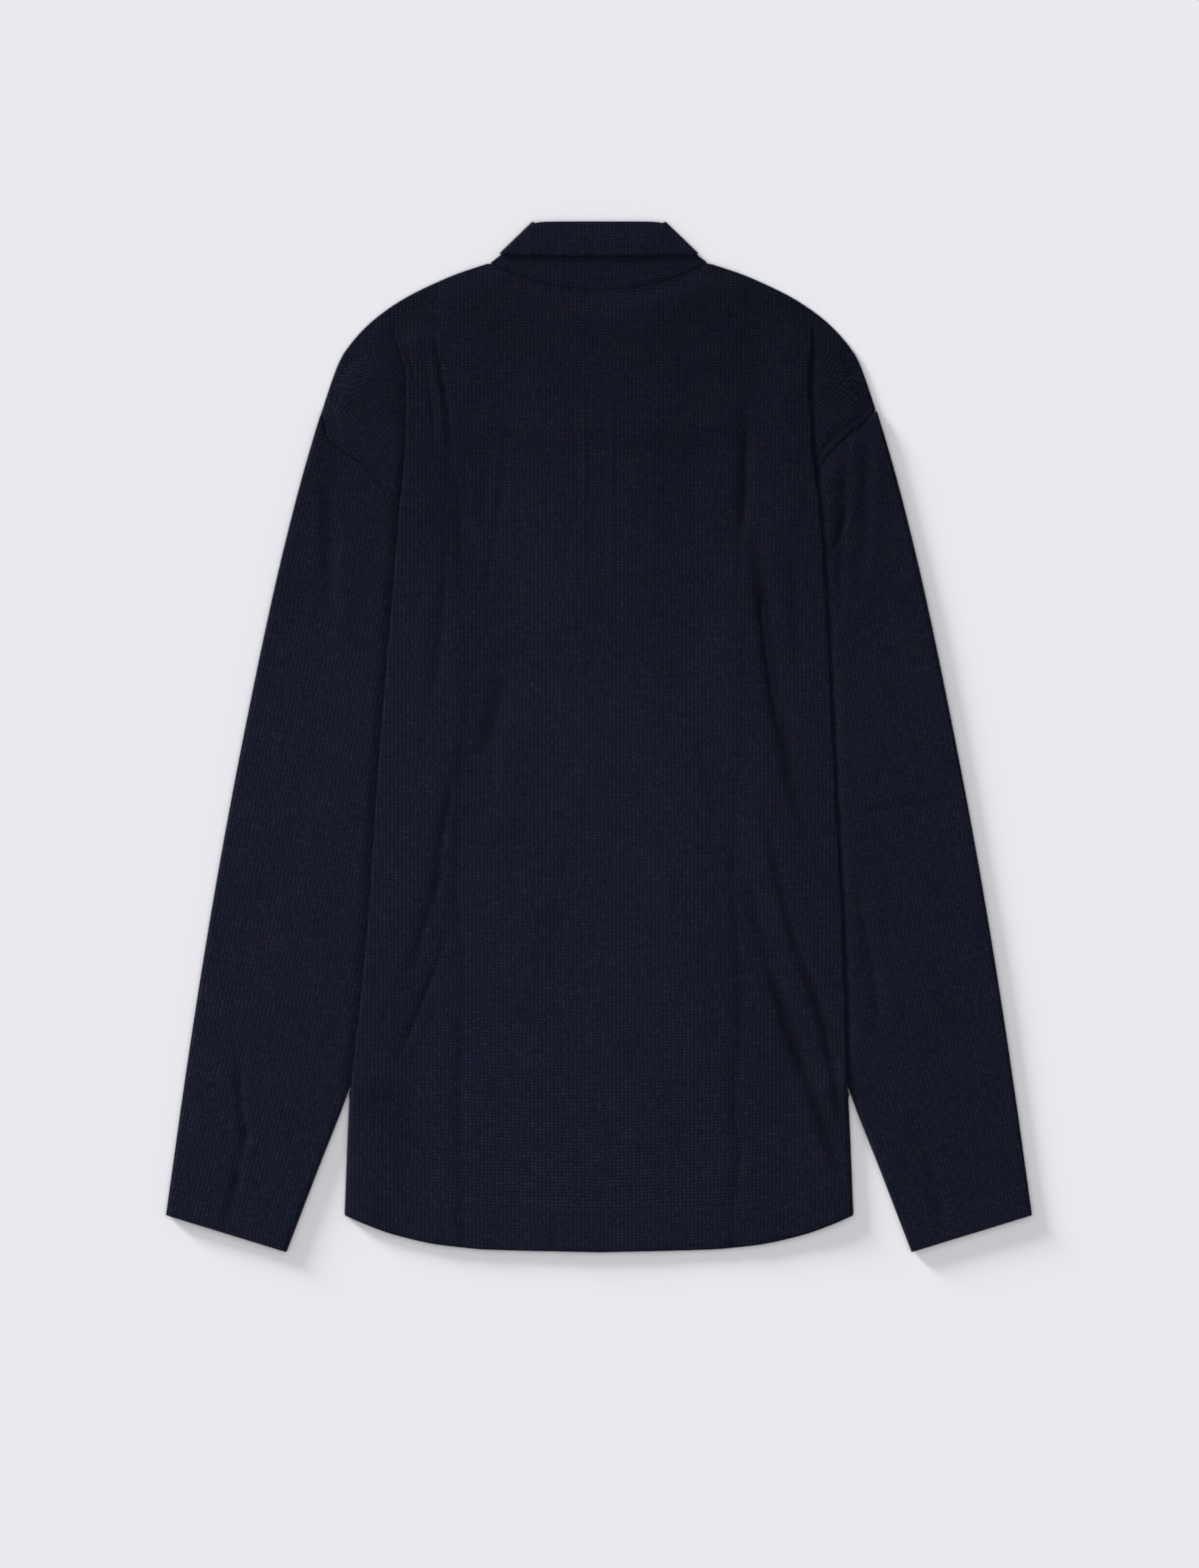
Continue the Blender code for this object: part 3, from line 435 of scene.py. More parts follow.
def waffle_knit():
    """Dark navy waffle knit: rows of small raised cells with lines between them darkened by painted shade, a
    few with a rosy fleck.
    """
    material, tree, shader = new_material("waffle_knit")
    knit_place = add_node(tree, "Attribute", {}, attribute_name="cloth_at").outputs["Vector"]
    place = knit_place
    for scale, reach in WANDERINGS:
        place = wandering(tree, place, scale, reach)
    cell = vector(tree, "DIVIDE", place, (*WAFFLE, 1))
    waves = add_node(tree, "SeparateXYZ", {0: scaled(tree, cell, 2 * math.pi)}).outputs[:2]
    bands = [number(tree, "MULTIPLY_ADD", number(tree, "COSINE", wave), 0.5, 0.5) for wave in waves]
    raised = number(tree, "POWER", number(tree, "MULTIPLY", *bands), CELL_ROUNDING)

    # Each cell takes the dye differently, and whole patches of cells lie a little lighter or darker.
    index = vector(tree, "FLOOR", vector(tree, "ADD", cell, HALF))
    dice = add_node(tree, "TexWhiteNoise", {"Vector": index}, noise_dimensions="3D")
    light = number(tree, "MULTIPLY", ranged(tree, dice.outputs["Value"], 0.0, 1.0, *DYE), raised)
    for scale, low, high in PATCHES:
        patch = ranged(tree, cloud(tree, knit_place, scale, 3.0), *CLOUD, low, high)
        light = number(tree, "MULTIPLY", light, patch)
    fuzz = cloud(tree, place, YARN_SCALE, 3.0)
    light = number(tree, "ADD", light, ranged(tree, fuzz, *CLOUD, *YARN_LIGHT))
    colour = mixed(tree, light, SHADED_LINE_COLOUR, CELL_COLOUR, clamp_factor=False)
    fleck = number(tree, "MULTIPLY", ranged(tree, dice.outputs["Value"], *FLECKED_CELLS), raised)
    # Painted shade in creases, read from the mesh; it also mixes a little of the fleck colour into them.
    crease_shade = add_node(tree, "Attribute", {}, attribute_name="crease_shade").outputs["Fac"]
    fleck = number(tree, "MULTIPLY_ADD", crease_shade, FLECK_IN_CREASE, fleck)
    colour = mixed(tree, fleck, colour, FLECK_COLOUR)
    tint = vector(tree, "ADD", scaled(tree, dice.outputs["Color"], CELL_TINT), (1 - CELL_TINT / 2,) * 3)
    colour = vector(tree, "MULTIPLY", colour, tint)
    for scale, spread, least in STAINS:
        stain = vector(tree, "MULTIPLY_ADD", cloud(tree, knit_place, scale, 2.0, "Color"), spread, least)
        colour = vector(tree, "MULTIPLY", colour, stain)

    # Painted shade: the colour is darker towards the shoulders and on the right side (+x), and lighter again
    # on the collar.
    # Painted shade also darkens it where the cloth turns down, at folds and edges, and in creases.
    x, y, _ = add_node(tree, "SeparateXYZ", {0: add_node(tree, "TexCoord", {}).outputs["Object"]}).outputs
    # This one factor holds all the painted light and shade that scales the colour.
    depth = number(tree, "MULTIPLY", ranged(tree, y, *UPPER_PAINTED_SHADE), ranged(tree, x, *RIGHT_PAINTED_SHADE))
    # Painted shade: where the cloth turns away from upright, at folds and rounded edges, its colour is
    # darkened.
    normal = add_node(tree, "NewGeometry", {}).outputs["Normal"]
    slope = number(tree, "ABSOLUTE", add_node(tree, "SeparateXYZ", {0: normal}).outputs["Z"])
    for value, light_range in ((slope, STEEP_PAINTED_SHADE), (crease_shade, CREASE_PAINTED_SHADE), (y, COLLAR_PAINTED_LIGHT)):
        depth = number(tree, "MULTIPLY", depth, ranged(tree, value, *light_range))
    tree.links.new(scaled(tree, colour, depth), shader.inputs["Base Color"])

    tree.links.new(ranged(tree, fuzz, *CLOUD, *YARN_ROUGHNESS), shader.inputs["Roughness"])
    bump_on(tree, shader, number(tree, "MULTIPLY_ADD", fuzz, YARN_RELIEF, raised), 0.7, 0.0005)
    shader.inputs["Specular IOR Level"].default_value = 0.03
    shader.inputs["Sheen Weight"].default_value = 0.015
    shader.inputs["Sheen Roughness"].default_value = 0.5
    return material


def finish_piece(piece, material, slot, *nodes):
    """Gives a piece its material, and puts it in the place of the plain solids that it stands for."""
    piece.data.materials.append(material)
    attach(piece, "root")
    if nodes:
        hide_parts(*nodes)
    return piece


knit = waffle_knit()

FRONT_CREASES = [  # on the floor side the cloth can only lift
    Crease(-60, 60, -84, -60, 3, 0.9, 7),
    Crease(-112, -40, -134, -190, -3, 1.1, 8),
    Crease(72, 90, 96, -70, -4, 1.0, 8),
    Crease(120, -110, 148, -300, 4, 1.2, 9),
    Crease(-20, -160, 14, -300, 5, 0.7, 12),
]
FRONT_COLUMNS = 52  # on each side of the slot
SLEEVE_STEP = 12.0  # beside a sleeve the front's edge steps up a layer over this width
STEP_BEGINS = 20.0  # over this height below the underarm
STEP_ENDS = (-28.0, 26.0)  # where it is gone, from the height of the sleeve's gap, and over what height
CREASES_OFF_SEAM = (18.0, 20.0)
CREASES_TOP = (190.0, 40.0)


def front_half(side, row):
    """Points (signed x, y, level) of a row of the front, from the slot out to the seam."""
    seam_x, seam_y = where_row_meets(row, FRONT_NECK_Y, SEAM_LINE[side.name])
    x = np.linspace(PLACKET_SLOT, seam_x, FRONT_COLUMNS)
    y = row_y(row, FRONT_NECK_Y, x)
    beside_sleeve = falling(seam_y, UNDERARM.y, STEP_BEGINS) * rising(seam_y - GAP_TOP.y, *STEP_ENDS)
    level = front_level(x, y) + PITCH * beside_sleeve * rising(x - seam_x, -SLEEVE_STEP, SLEEVE_STEP)
    clear_of_edges = rising(seam_x - x, *CREASES_OFF_SEAM) * falling(y, *CREASES_TOP)
    level += clear_of_edges * creased(FRONT_CREASES, side.sign * x, y)
    return np.column_stack([side.sign * x, y, level])


def make_front():
    across_slot = np.linspace(-PLACKET_SLOT, PLACKET_SLOT, 9)[1:-1]
    grid = []
    for row in PANEL_ROWS:
        y = row_y(row, FRONT_NECK_Y, across_slot)
        middle = np.column_stack([across_slot, y, front_level(across_slot, y)])
        grid.append(np.vstack([front_half(LEFT, row)[::-1], middle, front_half(RIGHT, row)]))
    grid = np.array(grid)
    present = np.ones((grid.shape[0] - 1, grid.shape[1] - 1), bool)
    slotted = PANEL_ROWS[1:] >= PLACKET_END_Y - 1e-6
    present[slotted, FRONT_COLUMNS - 1 : FRONT_COLUMNS + len(across_slot)] = False
    grain = grid[:, :, :2].copy()
    grain[:, :, 1] -= [hem_drop(row, points[:, 0]) for row, points in zip(PANEL_ROWS, grid)]
    return cloth_shell("front_panel", grid, grain, present)


front = finish_piece(make_front(), knit, "cloth", "front")

# ==== Placket ====
# Two strips of the same knit stand in the front's slot, one on the other. The outer one stands for the
# buttonhole strip, with no holes cut in it, and the inner one for the button strip, and both rise over the
# buttons that lie under them.
STRIP_PITCH = PITCH + 0.3
Button = namedtuple("Button", "name y")
BUTTONS = [Button("top", 268.0), Button("middle", 208.0), Button("bottom", 148.0)]
BUTTON_THICKNESS = 1.5
BULGE_REACH = (6.0, 12.6)  # the strips are raised over a button within the first, level past the second


def button_bulge(x, y):
    """How far the placket strips rise over the buttons."""
    raised = np.zeros(np.shape(x))
    inner, outer = BULGE_REACH
    for button in BUTTONS:
        clearance = BUTTON_THICKNESS + SEAM_GAP + CLOTH / 2 - front_level(0, button.y)
        distance = np.hypot(x, y - button.y)
        raised = np.maximum(raised, clearance * (1 - smooth_step((distance - inner) / (outer - inner))))
    return raised


def make_strip(name, layers_up):
    y, x = np.meshgrid(
        np.linspace(FRONT_NECK_Y - SEAM_GAP, PLACKET_END_Y + SEAM_GAP, 86),
        np.linspace(-PLACKET_HALF_WIDTH, PLACKET_HALF_WIDTH, 15),
        indexing="ij",
    )
    level = front_level(x, y) + layers_up * STRIP_PITCH + button_bulge(x, y)
    return cloth_shell(name, np.dstack([x, y, level]), np.dstack([x, y]))


for layers_up, place in enumerate(("outer", "inner")):
    strip = finish_piece(make_strip(place + "_strip", layers_up), knit, "cloth", "placket_" + place)

# ==== Buttons ====
# Three 11 mm buttons of dark moulded resin, with a rim round a shallow dish and four holes. They are sewn on
# with crossed thread, and face the floor.
BUTTON_RADIUS = 5.5
BUTTON_RIM = 1.1
BUTTON_DISH = 0.45
BUTTON_ROUNDING = 0.35
HOLE_RADIUS = 0.75
HOLE_FROM_MIDDLE = 1.75
THREAD_RADIUS = 0.22


def button_resin():
    """Dark moulded resin with a faint swirl in it and fine scratches."""
    material, tree, shader = new_material("button_resin")
    place = add_node(tree, "TexCoord", {}).outputs["Object"]
    values = {"Vector": place, "Scale": 320.0, "Detail": 4.0, "Distortion": 2.5}
    swirl = add_node(tree, "TexNoise", values).outputs["Fac"]
    colour = mixed(tree, swirl, (0.006, 0.007, 0.012, 1), (0.024, 0.026, 0.036, 1))
    tree.links.new(colour, shader.inputs["Base Color"])
    tree.links.new(ranged(tree, swirl, *CLOUD, 0.25, 0.42), shader.inputs["Roughness"])
    bump_on(tree, shader, cloud(tree, place, 2600.0, 2.0), 0.15, 0.0001)
    return material


def sewing_thread():
    """Twisted thread: fine slanted bands, darker than the knit's cells."""
    material, tree, shader = new_material("sewing_thread")
    values = {"Vector": add_node(tree, "TexCoord", {}).outputs["Object"], "Scale": 900.0, "Distortion": 1.5}
    twist = add_node(tree, "TexWave", values, bands_direction="DIAGONAL").outputs["Fac"]
    colour = mixed(tree, twist, (0.004, 0.0045, 0.009, 1), (0.010, 0.0115, 0.022, 1))
    tree.links.new(colour, shader.inputs["Base Color"])
    bump_on(tree, shader, twist, 0.5, 0.0001)
    shader.inputs["Roughness"].default_value = 0.7
    shader.inputs["Specular IOR Level"].default_value = 0.15
    return material


def turned(name, profile, centre_y, steps):
    """A solid turned round an upright line through (0, centre_y) from a profile of (radius, z) points."""
    shape = bmesh.new()
    points = [shape.verts.new((radius * MM, centre_y * MM, z * MM)) for radius, z in profile]
    edges = [shape.edges.new(pair) for pair in zip(points, points[1:])]
    bmesh.ops.spin(
        shape,
        geom=points + edges,
        cent=(0, centre_y * MM, 0),
        axis=(0, 0, 1),
        angle=2 * math.pi,
        steps=steps,
    )
    bmesh.ops.remove_doubles(shape, verts=shape.verts, dist=0.005 * MM)
    bmesh.ops.recalc_face_normals(shape, faces=shape.faces)
    mesh = bpy.data.meshes.new(name)
    shape.to_mesh(mesh)
    shape.free()
    return new_piece(name, mesh)


def make_button(button):
    edge = BUTTON_THICKNESS / 2 - 0.1
    rounding = [math.radians(angle) for angle in (-75, -50, -25, 0, 25, 50, 75)]
    core = BUTTON_RADIUS - BUTTON_ROUNDING
    rim = [(core + BUTTON_ROUNDING * math.cos(a), edge + 0.1 + edge * math.sin(a)) for a in rounding]
    dish = [(0.0, BUTTON_DISH), (2.6, BUTTON_DISH), (3.5, BUTTON_DISH - 0.05), (4.1, BUTTON_DISH - 0.25)]
    dish += [(BUTTON_RADIUS - 0.6 * BUTTON_RIM - 0.2, 0.05), (BUTTON_RADIUS - 0.6 * BUTTON_RIM, 0.0)]
    back_face = [(BUTTON_RADIUS - 0.5, BUTTON_THICKNESS), (0.0, BUTTON_THICKNESS)]
    piece = turned("button_" + button.name + "_resin", dish + rim + back_face, button.y, 48)
    drill = turned("drill", [(0, -1), (HOLE_RADIUS, -1), (HOLE_RADIUS, 3), (0, 3)], 0, 20)
    for quarter in range(4):
        angle = math.radians(45 + 90 * quarter)
        drill.location = (
            HOLE_FROM_MIDDLE * math.cos(angle) * MM,
            (button.y + HOLE_FROM_MIDDLE * math.sin(angle)) * MM,
            0,
        )
        bpy.context.view_layer.update()
        hole = piece.modifiers.new("hole", "BOOLEAN")
        hole.operation = "DIFFERENCE"
        hole.object = drill
        drilled = bpy.data.meshes.new_from_object(piece.evaluated_get(bpy.context.evaluated_depsgraph_get()))
        piece.modifiers.clear()
        piece.data = drilled
    bpy.data.objects.remove(drill)
    piece.data.name = piece.name
    piece.data.shade_smooth()
    piece.data.set_sharp_from_angle(angle=math.radians(35))
    return piece


def stitch_mesh(name, stitches):
    """Short stitches as one mesh. Each is (start, end, up): two points and the way out of the cloth."""
    sides = 6
    rings = [(0.0, 0.45), (0.18, 1.0), (0.82, 1.0), (1.0, 0.45)]
    vertices, faces = [], []
    for start, end, up in stitches:
        start, end, up = (np.asarray(value, float) for value in (start, end, up))
        along = end - start
        aside = np.cross(along, up)
        aside /= np.linalg.norm(aside)
        first = len(vertices)
        for share, swell in rings:
            for k in range(sides):
                angle = 2 * math.pi * k / sides
                out = aside * math.cos(angle) + up * math.sin(angle)
                vertices.append((start + along * share + out * THREAD_RADIUS * swell) * MM)
        for ring in range(len(rings) - 1):
            for k in range(sides):
                a = first + ring * sides
                b = (k + 1) % sides
                faces.append((a + k, a + b, a + sides + b, a + sides + k))
        faces.append(tuple(first + k for k in reversed(range(sides))))
        faces.append(tuple(first + (len(rings) - 1) * sides + k for k in range(sides)))
    mesh = bpy.data.meshes.new(name)
    mesh.from_pydata([tuple(v) for v in vertices], [], faces)
    mesh.shade_smooth()
    return new_piece(name, mesh)


resin = button_resin()
thread = sewing_thread()
for button in BUTTONS:
    finish_piece(make_button(button), resin, "buttons", "button_" + button.name)
    reach = HOLE_FROM_MIDDLE * math.cos(math.radians(45))
    cross = []
    for lean in (-1, 1):
        start = (-reach, button.y - lean * reach, BUTTON_DISH - THREAD_RADIUS)
        end = (reach, button.y + lean * reach, BUTTON_DISH - THREAD_RADIUS)
        cross.append((start, end, (0, 0, -1)))
    finish_piece(stitch_mesh("thread_" + button.name, cross), thread, "buttons")

# ==== Sleeves ====
# Each sleeve is one tube of the knit, sewn into the armhole and pressed flat, with a fold down each edge and
# a turned-up cuff. Its inner part lies under the body's fold; outside that it springs up a little.
SLEEVE_COLUMNS = 34
TURN_COLUMNS = 7
SOFT_REACH = 3.6  # a fold that is free to spring open
SLEEVE_LOFT = 3.3
CUFF_DEPTH = 23.0
CUFF_STITCHES = (CUFF_DEPTH - 2.0, CUFF_DEPTH - 7.0)
LEAST_LOFT = 0.2
ARMHOLE_LIFT = 0.6  # the share of its loft that a sleeve has at its seam, and how far on it has all
ARMHOLE_ROLL = 16.0
ARMHOLE_SHIFT = 0.45  # the sleeve stands this much off the armhole, outwards and down
ARMHOLE_DIP = (0.25, 3.0)  # how far its start dips, and over what length
ARMHOLE_SPAN = (0.984, 0.008)  # how much of the seam's line its start takes up, and where that begins
ARMHOLE_SHAPE_ENDS = 0.45  # the share of the sleeve over which its rows lose the armhole's curve
INNER_FOLD_FREED = (-2.0, 10.0)  # where past the body's edge the fold starts to open, and over what width
OUTER_FOLD_FREED = 0.05  # the share of the sleeve over which its outer fold opens
CLEAR_OF_BODY = (-1.5, 6.0)  # where past the body's edge the sleeve starts to rise, and over what width
COLUMN_CROWDING = 1.15  # columns lie closer together towards the outer fold
SLEEVE_CREASES = {
    "left": [
        Crease(-208, 214, -204, 95, -3, -1.2, 6),
        Crease(-214, 205, -211, 110, -3, 0.8, 6),
        Crease(-194, 170, -200, 60, 2, 0.8, 9),
        Crease(-276, -248, -269, -318, -4, -2.3, 3),
        Crease(-277, -262, -271, -312, -3, 1.0, 4),
        Crease(-270, -292, -282, -352, 2, -1.5, 3),
        Crease(-268, -300, -280, -345, 3, 0.9, 4),
        Crease(-277, -328, -290, -380, 2, -1.1, 3),
        Crease(-230, 30, -262, -120, 5, 0.7, 14),
        Crease(-220, -120, -262, -250, -6, 0.6, 13),
    ],
    "right": [
        Crease(204, 250, 200, 108, 4, -1.3, 6),
        Crease(211, 245, 207, 115, 4, 0.8, 6),
        Crease(190, 238, 182, 74, 0, -1.5, 3.4),
        Crease(193, 184, 176, 134, 0, -1.5, 1.8),
        Crease(184, -52, 278, -45, 1, 0.7, 3),
        Crease(184, -56, 278, -49, 1, -0.6, 3),
        Crease(196, -112, 216, -246, 3, -1.9, 3.4, 5),
        Crease(202, -112, 219, -235, 3, 0.7, 6),
        Crease(247, -300, 266, -388, 2, -1.0, 5),
        Crease(240, -60, 262, -250, -4, 0.6, 14),
    ],
}
ARMHOLE_LINE = {side.name: armhole_points(side) for side in SIDES}
SLEEVE_LENGTH = 625.0
SLEEVE_ROWS = np.concatenate([
    np.linspace(0, 0.03, 9),
    np.linspace(0.03, 0.955, 150)[1:],
    np.linspace(0.955, 1, 24)[1:],
])  # fmt: skip


def lying(x, y):
    """The slight unevenness of cloth that lies on its own layers."""
    return (
        0.30 * np.sin(x / 23 + y / 71 + 0.4)
        + 0.22 * np.sin(x / 37 - y / 49 + 1.9)
        + 0.13 * np.sin(x / 11 + y / 93 + 2.2)
    )


def sleeve_edges(side, down):
    """Plan places of a sleeve's outer and inner edges, a share `down` of the way from armhole to cuff."""
    outer_y = side.armhole[0].y + down * (OUTER_EDGE[-1].y - side.armhole[0].y)
    inner_y = UNDERARM.y + down * (SLEEVE_INNER_EDGE[-1].y - UNDERARM.y)
    outer = np.array([half_width_at(OUTER_EDGE, outer_y), outer_y])
    return outer, np.array([half_width_at(SLEEVE_INNER_EDGE, inner_y), inner_y])


def sleeve_ring(side, down):
    """Points round one row of the sleeve: back side, inner fold, front side, outer fold."""
    seam = ARMHOLE_LINE[side.name]
    outer, inner = sleeve_edges(side, down)
    along = (inner - outer) / np.linalg.norm(inner - outer)
    freed = rising(inner[0] - half_width_at(side.body_edge, inner[1]), *INNER_FOLD_FREED)
    inner_reach = FOLD_REACH + (SOFT_REACH - FOLD_REACH) * freed
    outer_reach = FOLD_REACH + (SOFT_REACH - FOLD_REACH) * smooth_step(down / OUTER_FOLD_FREED)
    outer_centre, inner_centre = outer + along * outer_reach, inner - along * inner_reach

    share = np.linspace(0, 1, SLEEVE_COLUMNS) ** COLUMN_CROWDING
    plan = outer_centre + share[:, None] * (inner_centre - outer_centre)
    plan[:, 0] += ARMHOLE_SHIFT
    if down < 1:
        first_outer, first_inner = sleeve_edges(side, 0)
        span, begins = ARMHOLE_SPAN
        chord = first_outer + (share[:, None] * span + begins) * (first_inner - first_outer)
        seam_y = np.interp(-chord[:, 0], -seam[:, 0], seam[:, 1])
        curved = 1 - smooth_step(down / ARMHOLE_SHAPE_ENDS)
        plan[:, 1] += curved * (seam_y - chord[:, 1]) - ARMHOLE_SHIFT

    x, y = plan.T
    clear_of_body = rising(x - half_width_at(side.body_edge, y), *CLEAR_OF_BODY)
    from_armhole = down * SLEEVE_LENGTH
    from_cuff = (1 - down) * SLEEVE_LENGTH
    soft = clear_of_body * (ARMHOLE_LIFT + (1 - ARMHOLE_LIFT) * smooth_step(from_armhole / ARMHOLE_ROLL))
    creases = creased(SLEEVE_CREASES[side.name], side.sign * x, y)
    shape = SLEEVE_LOFT + lying(x, y) + creases
    shape = shape + hem_band(from_cuff, CUFF_DEPTH, CUFF_STITCHES)
    dip, length = ARMHOLE_DIP
    top = LAYER_2 + soft * np.maximum(shape, LEAST_LOFT) - dip * (1 - smooth_step(from_armhole / length))
    under = np.full(SLEEVE_COLUMNS, LAYER_1)

    def turned_edge(end, outward, reach, high, way):
        angle = math.pi * np.arange(1, TURN_COLUMNS + 1) / (TURN_COLUMNS + 1)
        place = end + outward * (reach - CLOTH / 2) * np.sin(angle)[:, None]
        half_height = (high - LAYER_1) / 2
        return np.column_stack([place, LAYER_1 + half_height + way * half_height * np.cos(angle)])

    ring = np.vstack([
        np.column_stack([plan, top]),
        turned_edge(plan[-1], along, inner_reach, top[-1], 1),
        np.column_stack([plan, under])[::-1],
        turned_edge(plan[0], -along, outer_reach, top[0], -1),
    ])  # fmt: skip
    # Painted shade darkens the colour in the troughs of the sleeve's creases, on its upper side.
    crease_shade = np.zeros(len(ring))
    crease_shade[:SLEEVE_COLUMNS] = painted_crease_shade(creases)
    return ring, (outer + inner) / 2, crease_shade


def make_sleeve(side):
    """The tube, with its knit running straight along the sleeve."""
    rings = [sleeve_ring(side, down) for down in SLEEVE_ROWS]
    grid, middles, crease_shade = (np.array(part) for part in zip(*rings))
    heading = np.gradient(middles, axis=0)
    heading /= np.linalg.norm(heading, axis=1, keepdims=True)
    travelled = np.concatenate([[0], np.cumsum(np.linalg.norm(np.diff(middles, axis=0), axis=1))])
    offset = grid[:, :, :2] - middles[:, None, :]
    along = travelled[:, None] + np.einsum("rcd,rd->rc", offset, heading)
    across = offset[:, :, 0] * heading[:, None, 1] - offset[:, :, 1] * heading[:, None, 0]
    underneath = slice(SLEEVE_COLUMNS + TURN_COLUMNS // 2, -(TURN_COLUMNS // 2))
    inner_side = across[:, SLEEVE_COLUMNS + TURN_COLUMNS // 2, None]
    across[:, underneath] = 2 * inner_side - across[:, underneath]
    grid[:, :, 0] *= side.sign
    grain = np.dstack([across, along])
    return cloth_shell("sleeve_tube_" + side.name, grid, grain, closed=True, crease_shade=crease_shade), grid


SLEEVE_GRIDS = {}
for side in SIDES:
    sleeve, SLEEVE_GRIDS[side.name] = make_sleeve(side)
    finish_piece(sleeve, knit, "cloth", "sleeve_" + side.name)

# ==== Back ====
# One panel of the knit, sewn to the front along shoulders and sides, with a turned-up hem. Each side lies in
# a long fold over its sleeve: out to the body's edge, under, and back in to the armhole or side seam.
BACK_EASE = 0.1
BACK_NECK_Y = 343.4
BACK_LOFT = 1.3
SHOULDER_LOFT = 1.4  # what lies open on the shoulder springs up higher, nearly level with the fold
FOLD_START = 318.0
FOLD_OPENING = 30.0
SHOULDER_END = 130.0  # above here the cloth outside the fold lies open on the shoulder
SHOULDER_TUCK = 8.0
LEAST_TUCK = 0.5
TUCK_GROWTH = (FOLD_START - 25.0, 60.0)  # below where the tuck grows, and over what height
SMALLEST_TURN = 0.8
SMALLEST_TAIL = 0.4
LEAST_RETURN = 1.5
SHORTENED_RETURN = 0.3
SECOND_TURN_ENDS = 8.0
OPEN_TURN = 0.3  # below this turn the fold has not begun
FOLD_SLOPE = 45.0
SLOPE_END = 3.0
SOFT_FOLD_RADIUS = 1.1
EDGE_RADIUS = 2.8  # below the sleeve's gap the body's edge only rounds down to the side seam
EDGE_TURN = 1.2
FOLD_CLOSING = (-240.0, 50.0)  # where the long fold begins to open out into that, and over what height
RETURN_SHORTENING = (-222.0, 25.0)
EDGE_INSET = 1.5
EDGE_SINK = 1.7  # how much lower than over the sleeve the edge ends there
EDGE_SINKING = (GAP_TOP.y + 10.0, 60.0)
LOFT_INSET = (2.0, 16.0)  # how far in from neck and shoulder the loft begins, and over what width
CREASE_STOP = 6.0  # creases end over this width before the fold
ARMHOLE_RISE = 2.0  # the back's armhole edge lifts as high as the sleeve's start
ARMHOLE_RISING = (3.0, 4.0)
ARMHOLE_RIDGE = (0.2, 2.2, 1.6)  # height, place and reach of the seam allowance that shows beside the seam
ARMHOLE_ROUNDING = (0.4, 1.2)
ARMHOLE_BEGINS = (6.0, 10.0)
ARMHOLE_EASE = (0.8, -0.3)
SHOULDER_ROUNDING = (0.5, 1.8)
HEM_LOFT = (0.8, 40.0, 12.0)  # height, over what height of the panel it comes, and how far from its edges
HEM_ROUNDING = (0.7, 2.5)
COLLAR_BELOW = (0.93, 8.0)  # over the leaf the back rises a little further out, and further down
PLACKET_SWELL = 3.4
SWELL_SIDE = (95.0, 85.0)
SWELL_FOOT = (40.0, 90.0)
SWELL_TOP = (225.0, 40.0)
SWELL_LOSS = 0.38  # the share by which it is lower near the collar
SWELL_INSET = 26.0
PLACKET_LINES = (-11.2, 10.4)  # the edges of the strips below show as two faint lines
PLACKET_LINE = (0.35, 1.2)  # their height and reach
PLACKET_LINE_TOP = (276.0, 20.0)
PRESSED_GROOVE = (0.5, 5.5)  # depth and reach of the pressed fold's soft groove
PRESSED_LINE = (0.25, 2.4)  # and of the narrower one in it
PRESSED_BEGINS = 40.0
PRESSED_FOLD_SHADE = 0.4
PRESSED_COLUMNS = np.array([-8, -5.5, -3.6, -2.2, -1.1, 0, 1.1, 2.2, 3.6, 5.5, 8])
PLACKET_COLUMNS = np.array([0, 2.8, 5.6, 8.2, 9.4, 10.3, 11.2, 12.2, 13.6])
COLUMNS_TO_PRESSED = 26
COLUMNS_TO_FOLD = 36
TURN_STEPS = 9
RETURN_STEPS = 6
SECOND_TURN_STEPS = 6
TAIL_STEPS = 16
SHOULDER_GRAIN = (182.0, 290.0, math.radians(-41))  # outside the fold the knit is turned about this place
GRAIN_TURNING = (FOLD_START - 2.0, 46.0)
